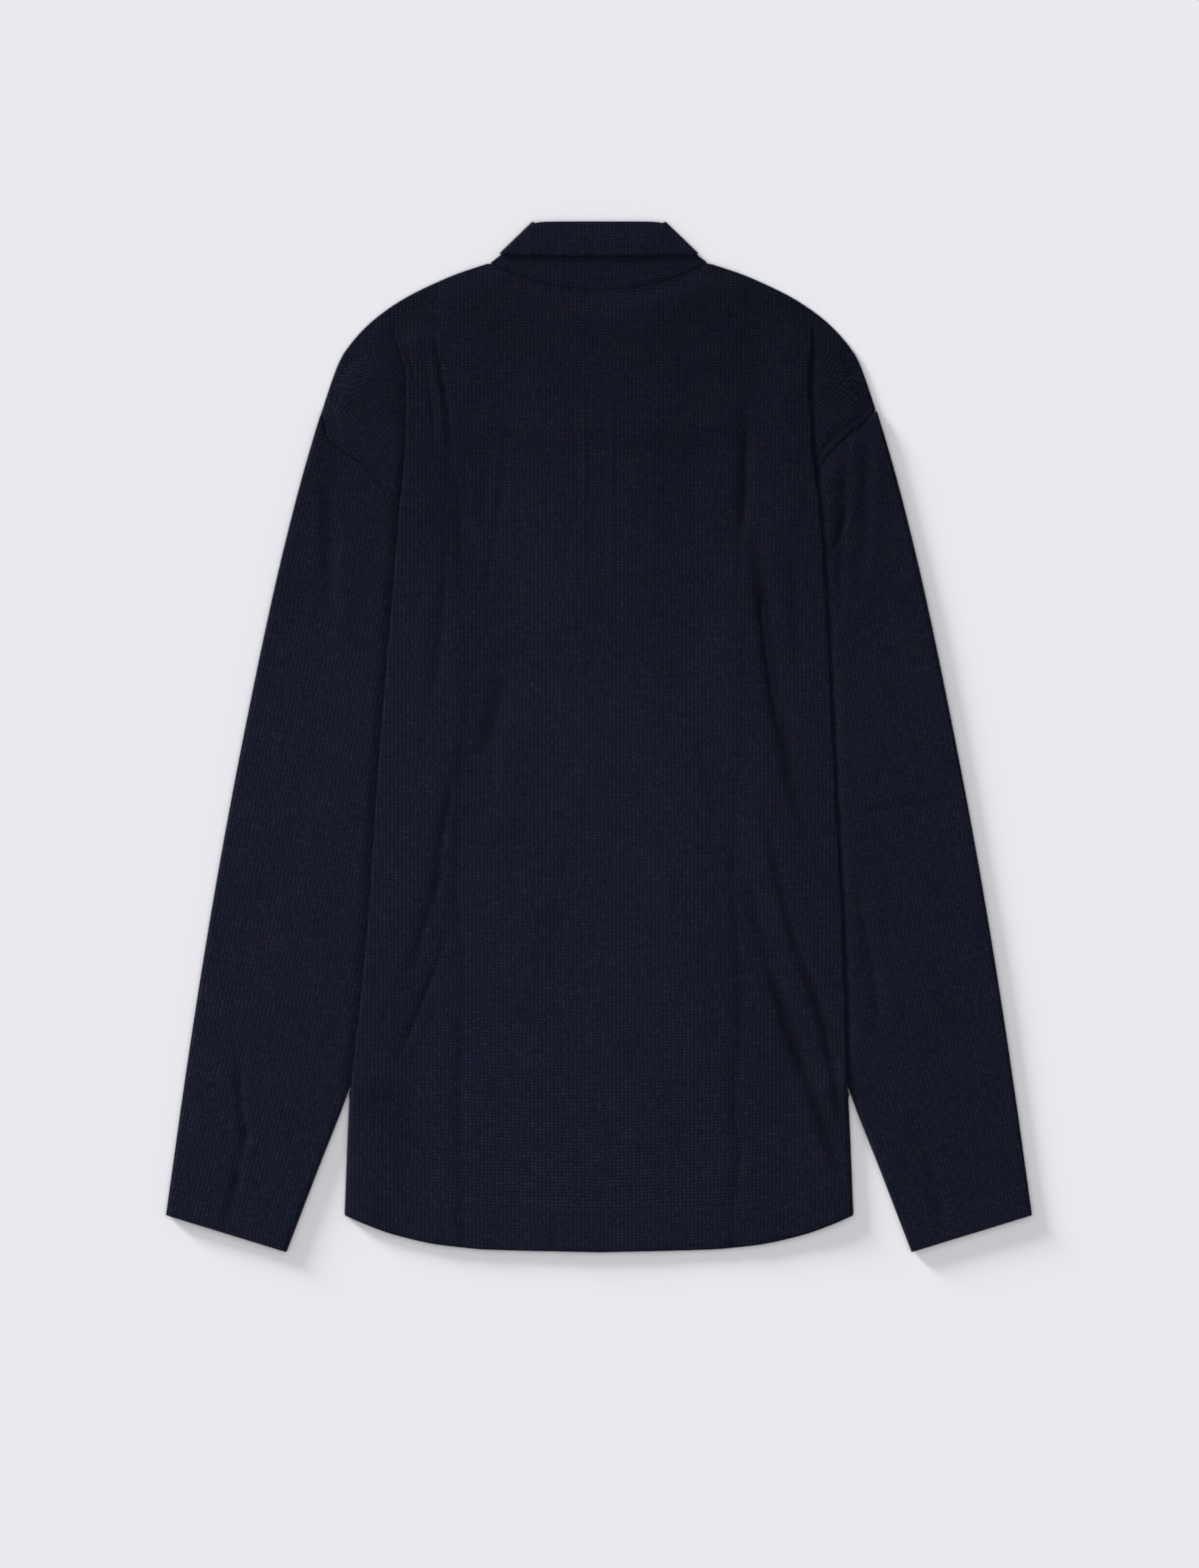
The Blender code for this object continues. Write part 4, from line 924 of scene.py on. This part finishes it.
BACK_CREASES = [
    Crease(-130.5, 318, -113.5, 200, 4.5, -0.8, 1.6),
    Crease(-134, 308, -120, 212, 4, 0.6, 2.2),
    Crease(-127, 298, -118, 208, 3.5, -0.5, 1.1),
    Crease(-136, 292, -127, 216, 3, -0.5, 1.2),
    Crease(-156.5, 316, -146.5, 276, 0, -1.7, 2.0),
    Crease(-150, 308, -141, 270, 0, -0.9, 1.5),
    Crease(-35.5, -362, -34.5, -402, 0, -1.2, 2.4),
    Crease(-71, 264, -90, 90, 3.5, -1.1, 1.8),
    Crease(-84, 236, -94, 150, 2, -0.8, 3),
    Crease(-74, 52, -96, -28, 1.5, -1.1, 4.0, 7),
    Crease(-83, 30, -84, -60, 2, -0.6, 4),
    Crease(-109, -22, -128, -132, -2.5, -1.2, 2.8),
    Crease(-113, -84, -148, -196, -2, -1.1, 3.4),
    Crease(-116, -150, -160, -258, 1, -1.3, 2.0),
    Crease(-118, 150, -130, 20, 3, -0.7, 4),
    Crease(-134, 110, -146, -30, 3, 0.6, 7),
    Crease(118, 184, 163, -100, -7.5, -2.0, 4.6, 9),
    Crease(124, 122, 141, 0, -2.5, -1.1, 3.0, 4),
    Crease(146, 160, 153, 30, 2, -0.6, 5),
    Crease(126, -50, 175, -232, -4, -1.6, 3.6, 5),
    Crease(158, -170, 190, -320, 3, -1.8, 3.2, 5),
    Crease(110, -90, 160, -272, -3, -1.2, 4.0, 7),
    Crease(129, -172, 194, -360, -1, -2.1, 4.4, 6),
    Crease(112, 262, 109, 140, 2, -1.3, 5, 4),
    Crease(-54, 20, -66, -120, 3, -0.4, 9),
    Crease(40, -60, 66, -230, 4, 0.5, 14),
    Crease(-40, -90, -62, -240, -4, 0.5, 14),
]


def pressed_fold(side, x, y):
    """The soft groove down each side of the back where the shirt has been folded."""
    distance = x - half_width_at(side.pressed_fold, y)
    grooves = (PRESSED_GROOVE, PRESSED_LINE)
    depth = sum(deep * np.exp(-((distance / reach) ** 2)) for deep, reach in grooves)
    return -depth * falling(y, side.pressed_fold[0].y, PRESSED_BEGINS)


def back_lying(side, x, y):
    """Level of the back where nothing but the front, the placket and the collar lie under it."""
    swell = PLACKET_SWELL * falling(x, *SWELL_SIDE) * rising(y, *SWELL_FOOT)
    swell = swell * (1 - SWELL_LOSS * rising(y, *SWELL_TOP))
    swell = swell * rising(back_edge_distance(x, y), 0, SWELL_INSET)
    narrower, lower = COLLAR_BELOW
    level = LAYER_2 + BACK_EASE + PITCH * collar_zone(x * narrower, y + lower) + swell
    height, reach = PLACKET_LINE
    for line in PLACKET_LINES:
        beside = np.exp(-(((side.sign * x - line) / reach) ** 2))
        level = level + height * beside * rising(y, PLACKET_END_Y, 12) * falling(y, *PLACKET_LINE_TOP)
    return level + pressed_fold(side, x, y)


def back_edge_distance(x, y):
    """Rough distance in from the neck and the shoulder's edge."""
    return np.minimum(top_edge(x, BACK_NECK_Y) - y, half_width_at(OUTER_EDGE, y) - x)


def lofted(x, y):
    """1 where the cloth is free to spring up, 0 at the neck's and the shoulder's edge."""
    return rising(back_edge_distance(x, y), *LOFT_INSET)


def folded_section(side, row):
    """Points of a row from middle to seam: half width, y, level, place across and along the knit, painted
    crease shade.
    """
    fold_x, fold_y = where_row_meets(row, BACK_NECK_Y, BODY_EDGE_LINE[side.name])
    seam_x, seam_y = where_row_meets(row, BACK_NECK_Y, BACK_SEAM_LINE[side.name])
    opened = falling(fold_y, FOLD_START, FOLD_OPENING)
    closed = falling(fold_y, *FOLD_CLOSING)
    turn = math.pi * opened * (1 - closed) + EDGE_TURN * closed
    radius = FOLD_RADIUS + (SOFT_FOLD_RADIUS - FOLD_RADIUS) * opened
    radius = max(radius + (EDGE_RADIUS - radius) * closed, SMALLEST_TURN / max(turn, 1e-6))
    tuck = LEAST_TUCK + (SHOULDER_TUCK - LEAST_TUCK) * falling(fold_y, *TUCK_GROWTH)
    below_shoulder = fold_y < SHOULDER_END
    turn_start = fold_x - min(radius, SOFT_FOLD_RADIUS) - CLOTH / 2
    if below_shoulder:
        turn_start = fold_x - (radius + CLOTH / 2) * math.sin(min(turn, math.pi / 2))
        turn_start -= EDGE_INSET * max(math.cos(turn), 0)
    to_seam = turn_start - seam_x
    if to_seam < tuck and not below_shoulder:
        return_length, second_turn = tuck, turn
        return_level = LAYER_2 + FOLD_RADIUS * (1 - math.cos(turn))
    else:
        shortened = falling(fold_y, *RETURN_SHORTENING)
        return_length = max(to_seam, LEAST_RETURN) * (1 - shortened) + SHORTENED_RETURN * shortened
        second_turn = 0.0
        if not below_shoulder:
            second_turn = turn * (1 - rising(to_seam, tuck, SECOND_TURN_ENDS))
        return_level = LAYER_3 - EDGE_SINK * falling(fold_y, *EDGE_SINKING)
    sloping = return_length + (SMALLEST_TURN + SMALLEST_TAIL if second_turn == 0 else 0)
    top_level = return_level + radius * (1 - math.cos(turn)) + sloping * math.sin(turn)

    pressed = float(half_width_at(side.pressed_fold, fold_y))
    x = np.linspace(PLACKET_COLUMNS[-1], pressed + PRESSED_COLUMNS[0], COLUMNS_TO_PRESSED)[1:-1]
    x = np.concatenate([PLACKET_COLUMNS, x, pressed + PRESSED_COLUMNS])
    x = np.concatenate([x, np.linspace(x[-1], turn_start, COLUMNS_TO_FOLD)[1:]])
    y = row_y(row, BACK_NECK_Y, x)
    inside = lofted(x, y)
    slope_end = min(turn_start, turn_start - return_length * (1 - math.cos(turn)) / 2) - SLOPE_END
    blend = smooth_step((x - slope_end + FOLD_SLOPE) / FOLD_SLOPE)
    level = (1 - blend) * (back_lying(side, x, y) + inside * BACK_LOFT) + blend * top_level
    creases = creased(BACK_CREASES, side.sign * x, y)
    before_fold = 1 - smooth_step((x - turn_start + CREASE_STOP) / CREASE_STOP)
    level += inside * (before_fold * creases + (1 - 0.5 * blend) * lying(side.sign * x, y))
    # Painted shade: the colour is darkened in the creases' troughs and along the pressed fold's groove.
    crease_shade = painted_crease_shade(creases) - PRESSED_FOLD_SHADE * pressed_fold(side, x, y)

    second_radius = max(FOLD_RADIUS, SMALLEST_TURN / max(second_turn, 1e-6))
    headings = [turn * (np.arange(TURN_STEPS) + 0.5) / TURN_STEPS, np.full(RETURN_STEPS, turn)]
    headings.append(turn - second_turn * (np.arange(SECOND_TURN_STEPS) + 0.5) / SECOND_TURN_STEPS)
    lengths = [np.full(TURN_STEPS, (radius * turn if turn > 1e-6 else SMALLEST_TURN) / TURN_STEPS)]
    lengths.append(np.full(RETURN_STEPS, return_length / RETURN_STEPS))
    second_length = second_radius * second_turn if second_turn > 1e-6 else SMALLEST_TURN
    lengths.append(np.full(SECOND_TURN_STEPS, second_length / SECOND_TURN_STEPS))
    reached = turn_start + sum(float(np.sum(np.cos(h) * n)) for h, n in zip(headings, lengths))
    tail = SMALLEST_TAIL
    if second_turn == turn and not below_shoulder:
        tail = max(seam_x - reached, SMALLEST_TAIL)
    headings.append(np.full(TAIL_STEPS, turn - second_turn))
    lengths.append(np.full(TAIL_STEPS, tail / TAIL_STEPS))
    heading, length = np.concatenate(headings), np.concatenate(lengths)
    beyond_x = turn_start + np.cumsum(np.cos(heading) * length)
    beyond_level = level[-1] - np.cumsum(np.sin(heading) * length)
    beyond_y = row_y(row, BACK_NECK_Y, beyond_x)

    # What lies open on the shoulder, outside the fold, springs up as the rest does, and its armhole edge
    # meets the sleeve's start, a little rounded down at the seam.
    outside = np.where(np.arange(len(beyond_x)) >= len(beyond_x) - TAIL_STEPS, 1.0, 0.0)
    clear = smooth_step((beyond_x - fold_x + 1) / 6) if turn > OPEN_TURN else 1.0
    from_seam = seam_x - beyond_x
    loft = BACK_LOFT + SHOULDER_LOFT * opened**2 + lying(side.sign * beyond_x, beyond_y)
    loft = loft * lofted(beyond_x, beyond_y) * smooth_step(from_seam / 12)
    above, height = ARMHOLE_BEGINS
    at_armhole = smooth_step((side.armhole[0].y + above - seam_y) / height)
    ridge = ARMHOLE_RISE * (1 - rising(from_seam, *ARMHOLE_RISING))
    high, from_edge, reach = ARMHOLE_RIDGE
    ridge = ridge + high * np.exp(-(((from_seam - from_edge) / reach) ** 2))
    sink, width = ARMHOLE_ROUNDING
    ridge -= sink * (1 - smooth_step(from_seam / width))
    beyond_level += outside * clear * (loft + at_armhole * ridge)

    x, y = np.concatenate([x, beyond_x]), np.concatenate([y, beyond_y])
    level = np.concatenate([level, beyond_level])
    sink, width = SHOULDER_ROUNDING
    at_shoulder = (x > NECK_HALF_WIDTH - 6) * (1 - smooth_step(back_edge_distance(x, y) / width))
    level -= sink * at_shoulder * (1 - at_armhole)
    high, height, width = HEM_LOFT
    at_hem = 1 - smooth_step((row - HEM_ROW - HEM_DEPTH) / height)
    level += at_hem * (1 - smooth_step((x - fold_x + width) / width)) * high
    sink, height = HEM_ROUNDING
    rounded = sink * (1 - smooth_step((row - HEM_ROW) / height))
    level += hem_band(row - HEM_ROW, HEM_DEPTH, HEM_STITCHES) - rounded
    grain = np.array([np.concatenate([[0], np.cumsum(np.hypot(np.diff(x), np.diff(level)))]), y])
    if not below_shoulder:
        middle_x, middle_y, angle = SHOULDER_GRAIN
        aside, up = x - middle_x, y - middle_y
        turned = [
            middle_x + aside * math.cos(angle) + up * math.sin(angle),
            middle_y + up * math.cos(angle) - aside * math.sin(angle),
        ]
        outside = np.concatenate([np.zeros(len(x) - len(outside)), outside])
        grain += outside * falling(fold_y, *GRAIN_TURNING) * (turned - grain)
    crease_shade = np.concatenate([crease_shade, np.zeros(len(x) - len(crease_shade))])
    return np.column_stack([x, y, level, *grain, crease_shade])


def body_edge_line(side):
    y = np.linspace(side.body_edge[0].y, side.body_edge[-1].y, SAMPLES)
    return np.column_stack([half_width_at(side.body_edge, y), y])


def back_seam_line(side):
    """The back's own edge: the seam line, eased out towards the sleeve along the armhole."""
    line = SEAM_LINE[side.name].copy()
    line[SAMPLES : 2 * SAMPLES] += ARMHOLE_EASE
    return line


BODY_EDGE_LINE = {side.name: body_edge_line(side) for side in SIDES}
BACK_SEAM_LINE = {side.name: back_seam_line(side) for side in SIDES}


def make_back():
    points = []
    for row in PANEL_ROWS:
        left, right = folded_section(LEFT, row), folded_section(RIGHT, row)
        left[:, [0, 3]] *= -1
        points.append(np.vstack([left[:0:-1], right]))
    points = np.array(points)
    grain = points[:, :, 3:5].copy()
    grain[:, :, 1] -= [hem_drop(row, line[:, 0]) for row, line in zip(PANEL_ROWS, points)]
    return cloth_shell("back_panel", points[:, :, :3], grain, crease_shade=points[:, :, 5]), points[:, :, :3]


back, back_grid = make_back()
finish_piece(back, knit, "cloth", "back")

# ==== Collar ====
# The stand is a band of the knit sewn round the neck edge, and the leaf is the turned-down collar that folds
# over it. Both run all the way round, so the shirt shows them at the back and hides them in front.
COLLAR_TOP_Y = 396.7
COLLAR_TOP_HALF_WIDTH = 51.6
FRONT_FOLD_Y = 318.0
COLLAR_CORE = (LAYER_2 + LAYER_3) / 2
STAND_RADIUS = FOLD_RADIUS
LEAF_RADIUS = STAND_RADIUS + PITCH
COLLAR_SIDE_LENGTH = math.hypot(NECK_HALF_WIDTH - COLLAR_TOP_HALF_WIDTH, COLLAR_TOP_Y - NECK_SIDE_Y)
COLLAR_SIDE_OUTWARD = (
    (COLLAR_TOP_Y - NECK_SIDE_Y) / COLLAR_SIDE_LENGTH,
    (NECK_HALF_WIDTH - COLLAR_TOP_HALF_WIDTH) / COLLAR_SIDE_LENGTH,
)
COLLAR_SIDE_REACH = (LEAF_RADIUS + CLOTH / 2) / COLLAR_SIDE_OUTWARD[0]
COLLAR_CORNER = (49.9, 394.2)
BACK_FOLD_CURVE = 12  # straight across the back, then round at the corners
LEAF_SEAM = 0.6
LEAF_BACK_EDGE_Y = 369.5
LEAF_LOFT = 0.5
STAND_FLARE = 2.1  # at its foot the stand spreads out to the neck's corners
FLARE_TOP = 0.2
STAND_FOOT = ((-3.5, -0.65), (-1.6, -0.6), (-0.3, -0.2))  # seam allowance: how far below, how much deeper
LeafEdge = namedtuple("LeafEdge", "share half_width y")
LEAF_FRONT_EDGE = [
    LeafEdge(1.0, 78.3, 370.5),
    LeafEdge(0.8, 85.0, 340.0),
    LeafEdge(0.6, 82.0, 311.0),
    LeafEdge(0.33, 60.0, 262.0),
    LeafEdge(0.15, 30.0, 277.0),
    LeafEdge(0.0, 3.0, 293.0),
]


def collar_stations():
    """Places round the neck: side sign, share of the way out, and turn from back 0 to front 1."""
    front = [(share, 1.0) for share in np.linspace(0.012, 1.0, 34)]
    turn = [(1.0, 1 - k / 8) for k in range(1, 8)]
    back_part = [(1 - way**1.5, 0.0) for way in np.linspace(0.0, 1.0, 31)[:-1]]
    half = front + turn + back_part
    return [(-1, *place) for place in half] + [(1, 0.0, 0.0)] + [(1, *place) for place in half[::-1]]


def neck_point(share, turn):
    middle = BACK_NECK_Y if turn < 0.5 else FRONT_NECK_Y
    y = middle + (NECK_SIDE_Y - middle) * share**NECK_CURVE + SEAM_GAP
    return np.array([share * (NECK_HALF_WIDTH - COLLAR_SIDE_REACH), y])


def collar_fold_point(share, turn):
    middle, curve = FRONT_FOLD_Y, NECK_CURVE
    if turn < 0.5:
        middle, curve = COLLAR_TOP_Y - FOLD_REACH, BACK_FOLD_CURVE
    return np.array([share * COLLAR_CORNER[0], middle + (COLLAR_CORNER[1] - middle) * share**curve])


def leaf_edge_point(share, turn):
    side = LEAF_FRONT_EDGE[0]
    if turn < 0.5 or share == 1.0:
        low, high = neck_point(1.0, turn), collar_fold_point(1.0, turn)
        side_x = low[0] + (high[0] - low[0]) * (side.y - low[1]) / (high[1] - low[1])
        return np.array([share * side_x, LEAF_BACK_EDGE_Y + (side.y - LEAF_BACK_EDGE_Y) * share**2])
    shares = [-edge.share for edge in LEAF_FRONT_EDGE]
    x = np.interp(-share, shares, [edge.half_width for edge in LEAF_FRONT_EDGE])
    y = np.interp(-share, shares, [edge.y for edge in LEAF_FRONT_EDGE])
    return np.array([x, y])


def wrapped(plan, station, radius):
    """A collar point at a place, `radius` above the collar's core at the back and below it in front."""
    sign, _, turn = station
    outward = radius * math.sin(math.pi * turn)
    x = plan[0] + outward * COLLAR_SIDE_OUTWARD[0]
    y = plan[1] + outward * COLLAR_SIDE_OUTWARD[1]
    return (sign * x, y, COLLAR_CORE + radius * math.cos(math.pi * turn))


def grain_by_length(grid):
    """Places across and along the knit, measured along the cloth."""
    across = np.cumsum(np.linalg.norm(np.diff(grid, axis=1, prepend=grid[:, :1]), axis=2), axis=1)
    along = np.cumsum(np.linalg.norm(np.diff(grid, axis=0, prepend=grid[:1]), axis=2), axis=0)
    middle = grid.shape[1] // 2
    return np.dstack([across - across[:, middle : middle + 1], along])


def make_stand():
    grid = []
    rows = [(share_up, 0.0, 0.0) for share_up in np.linspace(1.0, 0.0, 16)]
    rows += [(0.0, below, deeper) for below, deeper in STAND_FOOT[::-1]]
    for share_up, below, deeper in rows:
        row = []
        for station in collar_stations():
            low, high = neck_point(*station[1:]), collar_fold_point(*station[1:])
            at_back = 1 - smooth_step(station[2] / 0.6)
            up = (high - low) / np.linalg.norm(high - low)
            plan = low + share_up * (high - (SEAM_GAP + LEAF_SEAM) * up - low) + up * below * at_back
            plan[0] += STAND_FLARE * station[1] ** 3 * at_back * (1 - smooth_step(share_up / FLARE_TOP))
            row.append(wrapped(plan, station, STAND_RADIUS + deeper * at_back))
        grid.append(row)
    grid = np.array(grid)
    return cloth_shell("stand_band", grid, grain_by_length(grid)), grid


def make_leaf():
    rises = [(-LEAF_SEAM, STAND_RADIUS)]
    for angle in np.linspace(math.pi, 0, 9):
        middle = (STAND_RADIUS + LEAF_RADIUS) / 2
        rises.append((FOLD_RADIUS * math.sin(angle), middle + FOLD_RADIUS * math.cos(angle)))
    grid = []
    for rise, radius in rises:
        row = []
        for station in collar_stations():
            low, high = neck_point(*station[1:]), collar_fold_point(*station[1:])
            up = (high - low) / np.linalg.norm(high - low)
            row.append(wrapped(high + up * rise, station, radius))
        grid.append(row)
    for share_down in np.linspace(0, 1.0, 15)[1:]:
        row = []
        for station in collar_stations():
            high, edge = collar_fold_point(*station[1:]), leaf_edge_point(*station[1:])
            at_back = (station[2] < 0.1) * (1 - station[1] ** 4)
            radius = LEAF_RADIUS + LEAF_LOFT * math.sin(math.pi * share_down) * at_back
            row.append(wrapped(high + share_down * (edge - high), station, radius))
        grid.append(row)
    grid = np.array(grid)
    return cloth_shell("collar_leaf_cloth", grid, grain_by_length(grid)), grid


stand, stand_grid = make_stand()
finish_piece(stand, knit, "cloth", "collar_stand")
leaf, leaf_grid = make_leaf()
finish_piece(leaf, knit, "cloth", "collar_leaf")

# ==== Sewing ====
# Navy thread: two rows of stitches hold each turned-up hem and cuff, and one row runs along the collar's
# leaf and the foot of its stand.
STITCH = 2.5
STITCH_GAP = 0.8
STITCH_SINK = 0.14
HEM_STITCHES_END = 190.0


def sewn_along(points, up):
    """Stitches (start, end, up) along a line of points, laid on the cloth's outer side."""
    points = np.asarray(points) + np.asarray(up, float) * (CLOTH / 2 - STITCH_SINK)
    travelled = np.concatenate([[0], np.cumsum(np.linalg.norm(np.diff(points, axis=0), axis=1))])
    starts = np.arange(1.0, travelled[-1] - STITCH, STITCH + STITCH_GAP)
    ends = starts + STITCH
    place = [np.column_stack([np.interp(at, travelled, axis) for axis in points.T]) for at in (starts, ends)]
    return [(start, end, up) for start, end in zip(*place)]


ON_TOP = (0, 0, 1)
hem_stitches = []
for distance in HEM_STITCHES:
    row = int(np.argmin(np.abs(PANEL_ROWS - HEM_ROW - distance)))
    line = back_grid[row]
    hem_stitches += sewn_along(line[np.abs(line[:, 0]) < HEM_STITCHES_END], ON_TOP)
finish_piece(stitch_mesh("stitches_hem", hem_stitches), thread, "cloth")

for side in SIDES:
    cuff_stitches = []
    for distance in CUFF_STITCHES:
        row = int(np.argmin(np.abs((1 - SLEEVE_ROWS) * SLEEVE_LENGTH - distance)))
        cuff_stitches += sewn_along(SLEEVE_GRIDS[side.name][row, :SLEEVE_COLUMNS], ON_TOP)
    finish_piece(stitch_mesh("stitches_cuff_" + side.name, cuff_stitches), thread, "cloth")

collar_columns = slice(43, -43)  # the part of the collar that lies at the back
collar_stitches = sewn_along(leaf_grid[-3, collar_columns], ON_TOP)
collar_stitches += sewn_along(stand_grid[-6, collar_columns], ON_TOP)
finish_piece(stitch_mesh("stitches_collar", collar_stitches), thread, "cloth")

# ==== Floor, light and camera ====
# A plain pale floor under soft studio light: an even glow all round, a broad light overhead, and a smaller
# one low on the upper left that draws the soft shadow. The camera looks straight down, as in the photograph.
PHOTO_HEIGHT = 1208.1
PHOTO_MIDDLE = (0.4, -36.2)
LENS = 85
SENSOR = 36
FLOOR_HALF = 30.0  # metres
FLOOR_LEVEL = -0.0001  # metres, just clear of the cloth
FLOOR_COLOUR = (0.823, 0.815, 0.863, 1)
GLOW = 0.3
OVERHEAD_SHARE = 0.4
OVERHEAD_BREADTH = math.radians(90)
KEY_SHARE = 0.3
KEY_HEIGHT = math.radians(11.5)
KEY_TURN = math.radians(137)
KEY_BREADTH = math.radians(13.5)


def floor_paint():
    material, _, shader = new_material("floor_paint")
    shader.inputs["Base Color"].default_value = FLOOR_COLOUR
    shader.inputs["Roughness"].default_value = 1.0
    shader.inputs["Specular IOR Level"].default_value = 0.0
    return material


floor_mesh = bpy.data.meshes.new("floor")
corners = [(FLOOR_HALF * x, FLOOR_HALF * y, FLOOR_LEVEL) for x, y in ((-1, -1), (1, -1), (1, 1), (-1, 1))]
floor_mesh.from_pydata(corners, [], [(0, 1, 2, 3)])
floor_mesh.materials.append(floor_paint())
floor = new_piece("floor", floor_mesh)

world = bpy.data.worlds.new("studio")
world.use_nodes = True
world.node_tree.nodes["Background"].inputs["Color"].default_value = (1, 1, 1, 1)
world.node_tree.nodes["Background"].inputs["Strength"].default_value = GLOW
bpy.context.scene.world = world


def far_light(name, share, breadth, height, turn):
    """A light far away, `height` above the horizon, that gives the floor `share` of its light."""
    lamp = bpy.data.lights.new(name, "SUN")
    lamp.energy = share * math.pi / math.sin(height)
    lamp.angle = breadth
    new_piece(name, lamp).rotation_euler = (0, math.pi / 2 - height, turn)


far_light("overhead_light", OVERHEAD_SHARE, OVERHEAD_BREADTH, math.pi / 2, 0.0)
far_light("low_light", KEY_SHARE, KEY_BREADTH, KEY_HEIGHT, KEY_TURN)

camera_data = bpy.data.cameras.new("camera")
camera_data.lens = LENS
camera_data.sensor_width = SENSOR
camera = new_piece("camera", camera_data)
camera.location = (PHOTO_MIDDLE[0] * MM, PHOTO_MIDDLE[1] * MM, PHOTO_HEIGHT * MM * LENS / SENSOR)
bpy.context.scene.camera = camera
bpy.context.scene.view_settings.view_transform = "Standard"
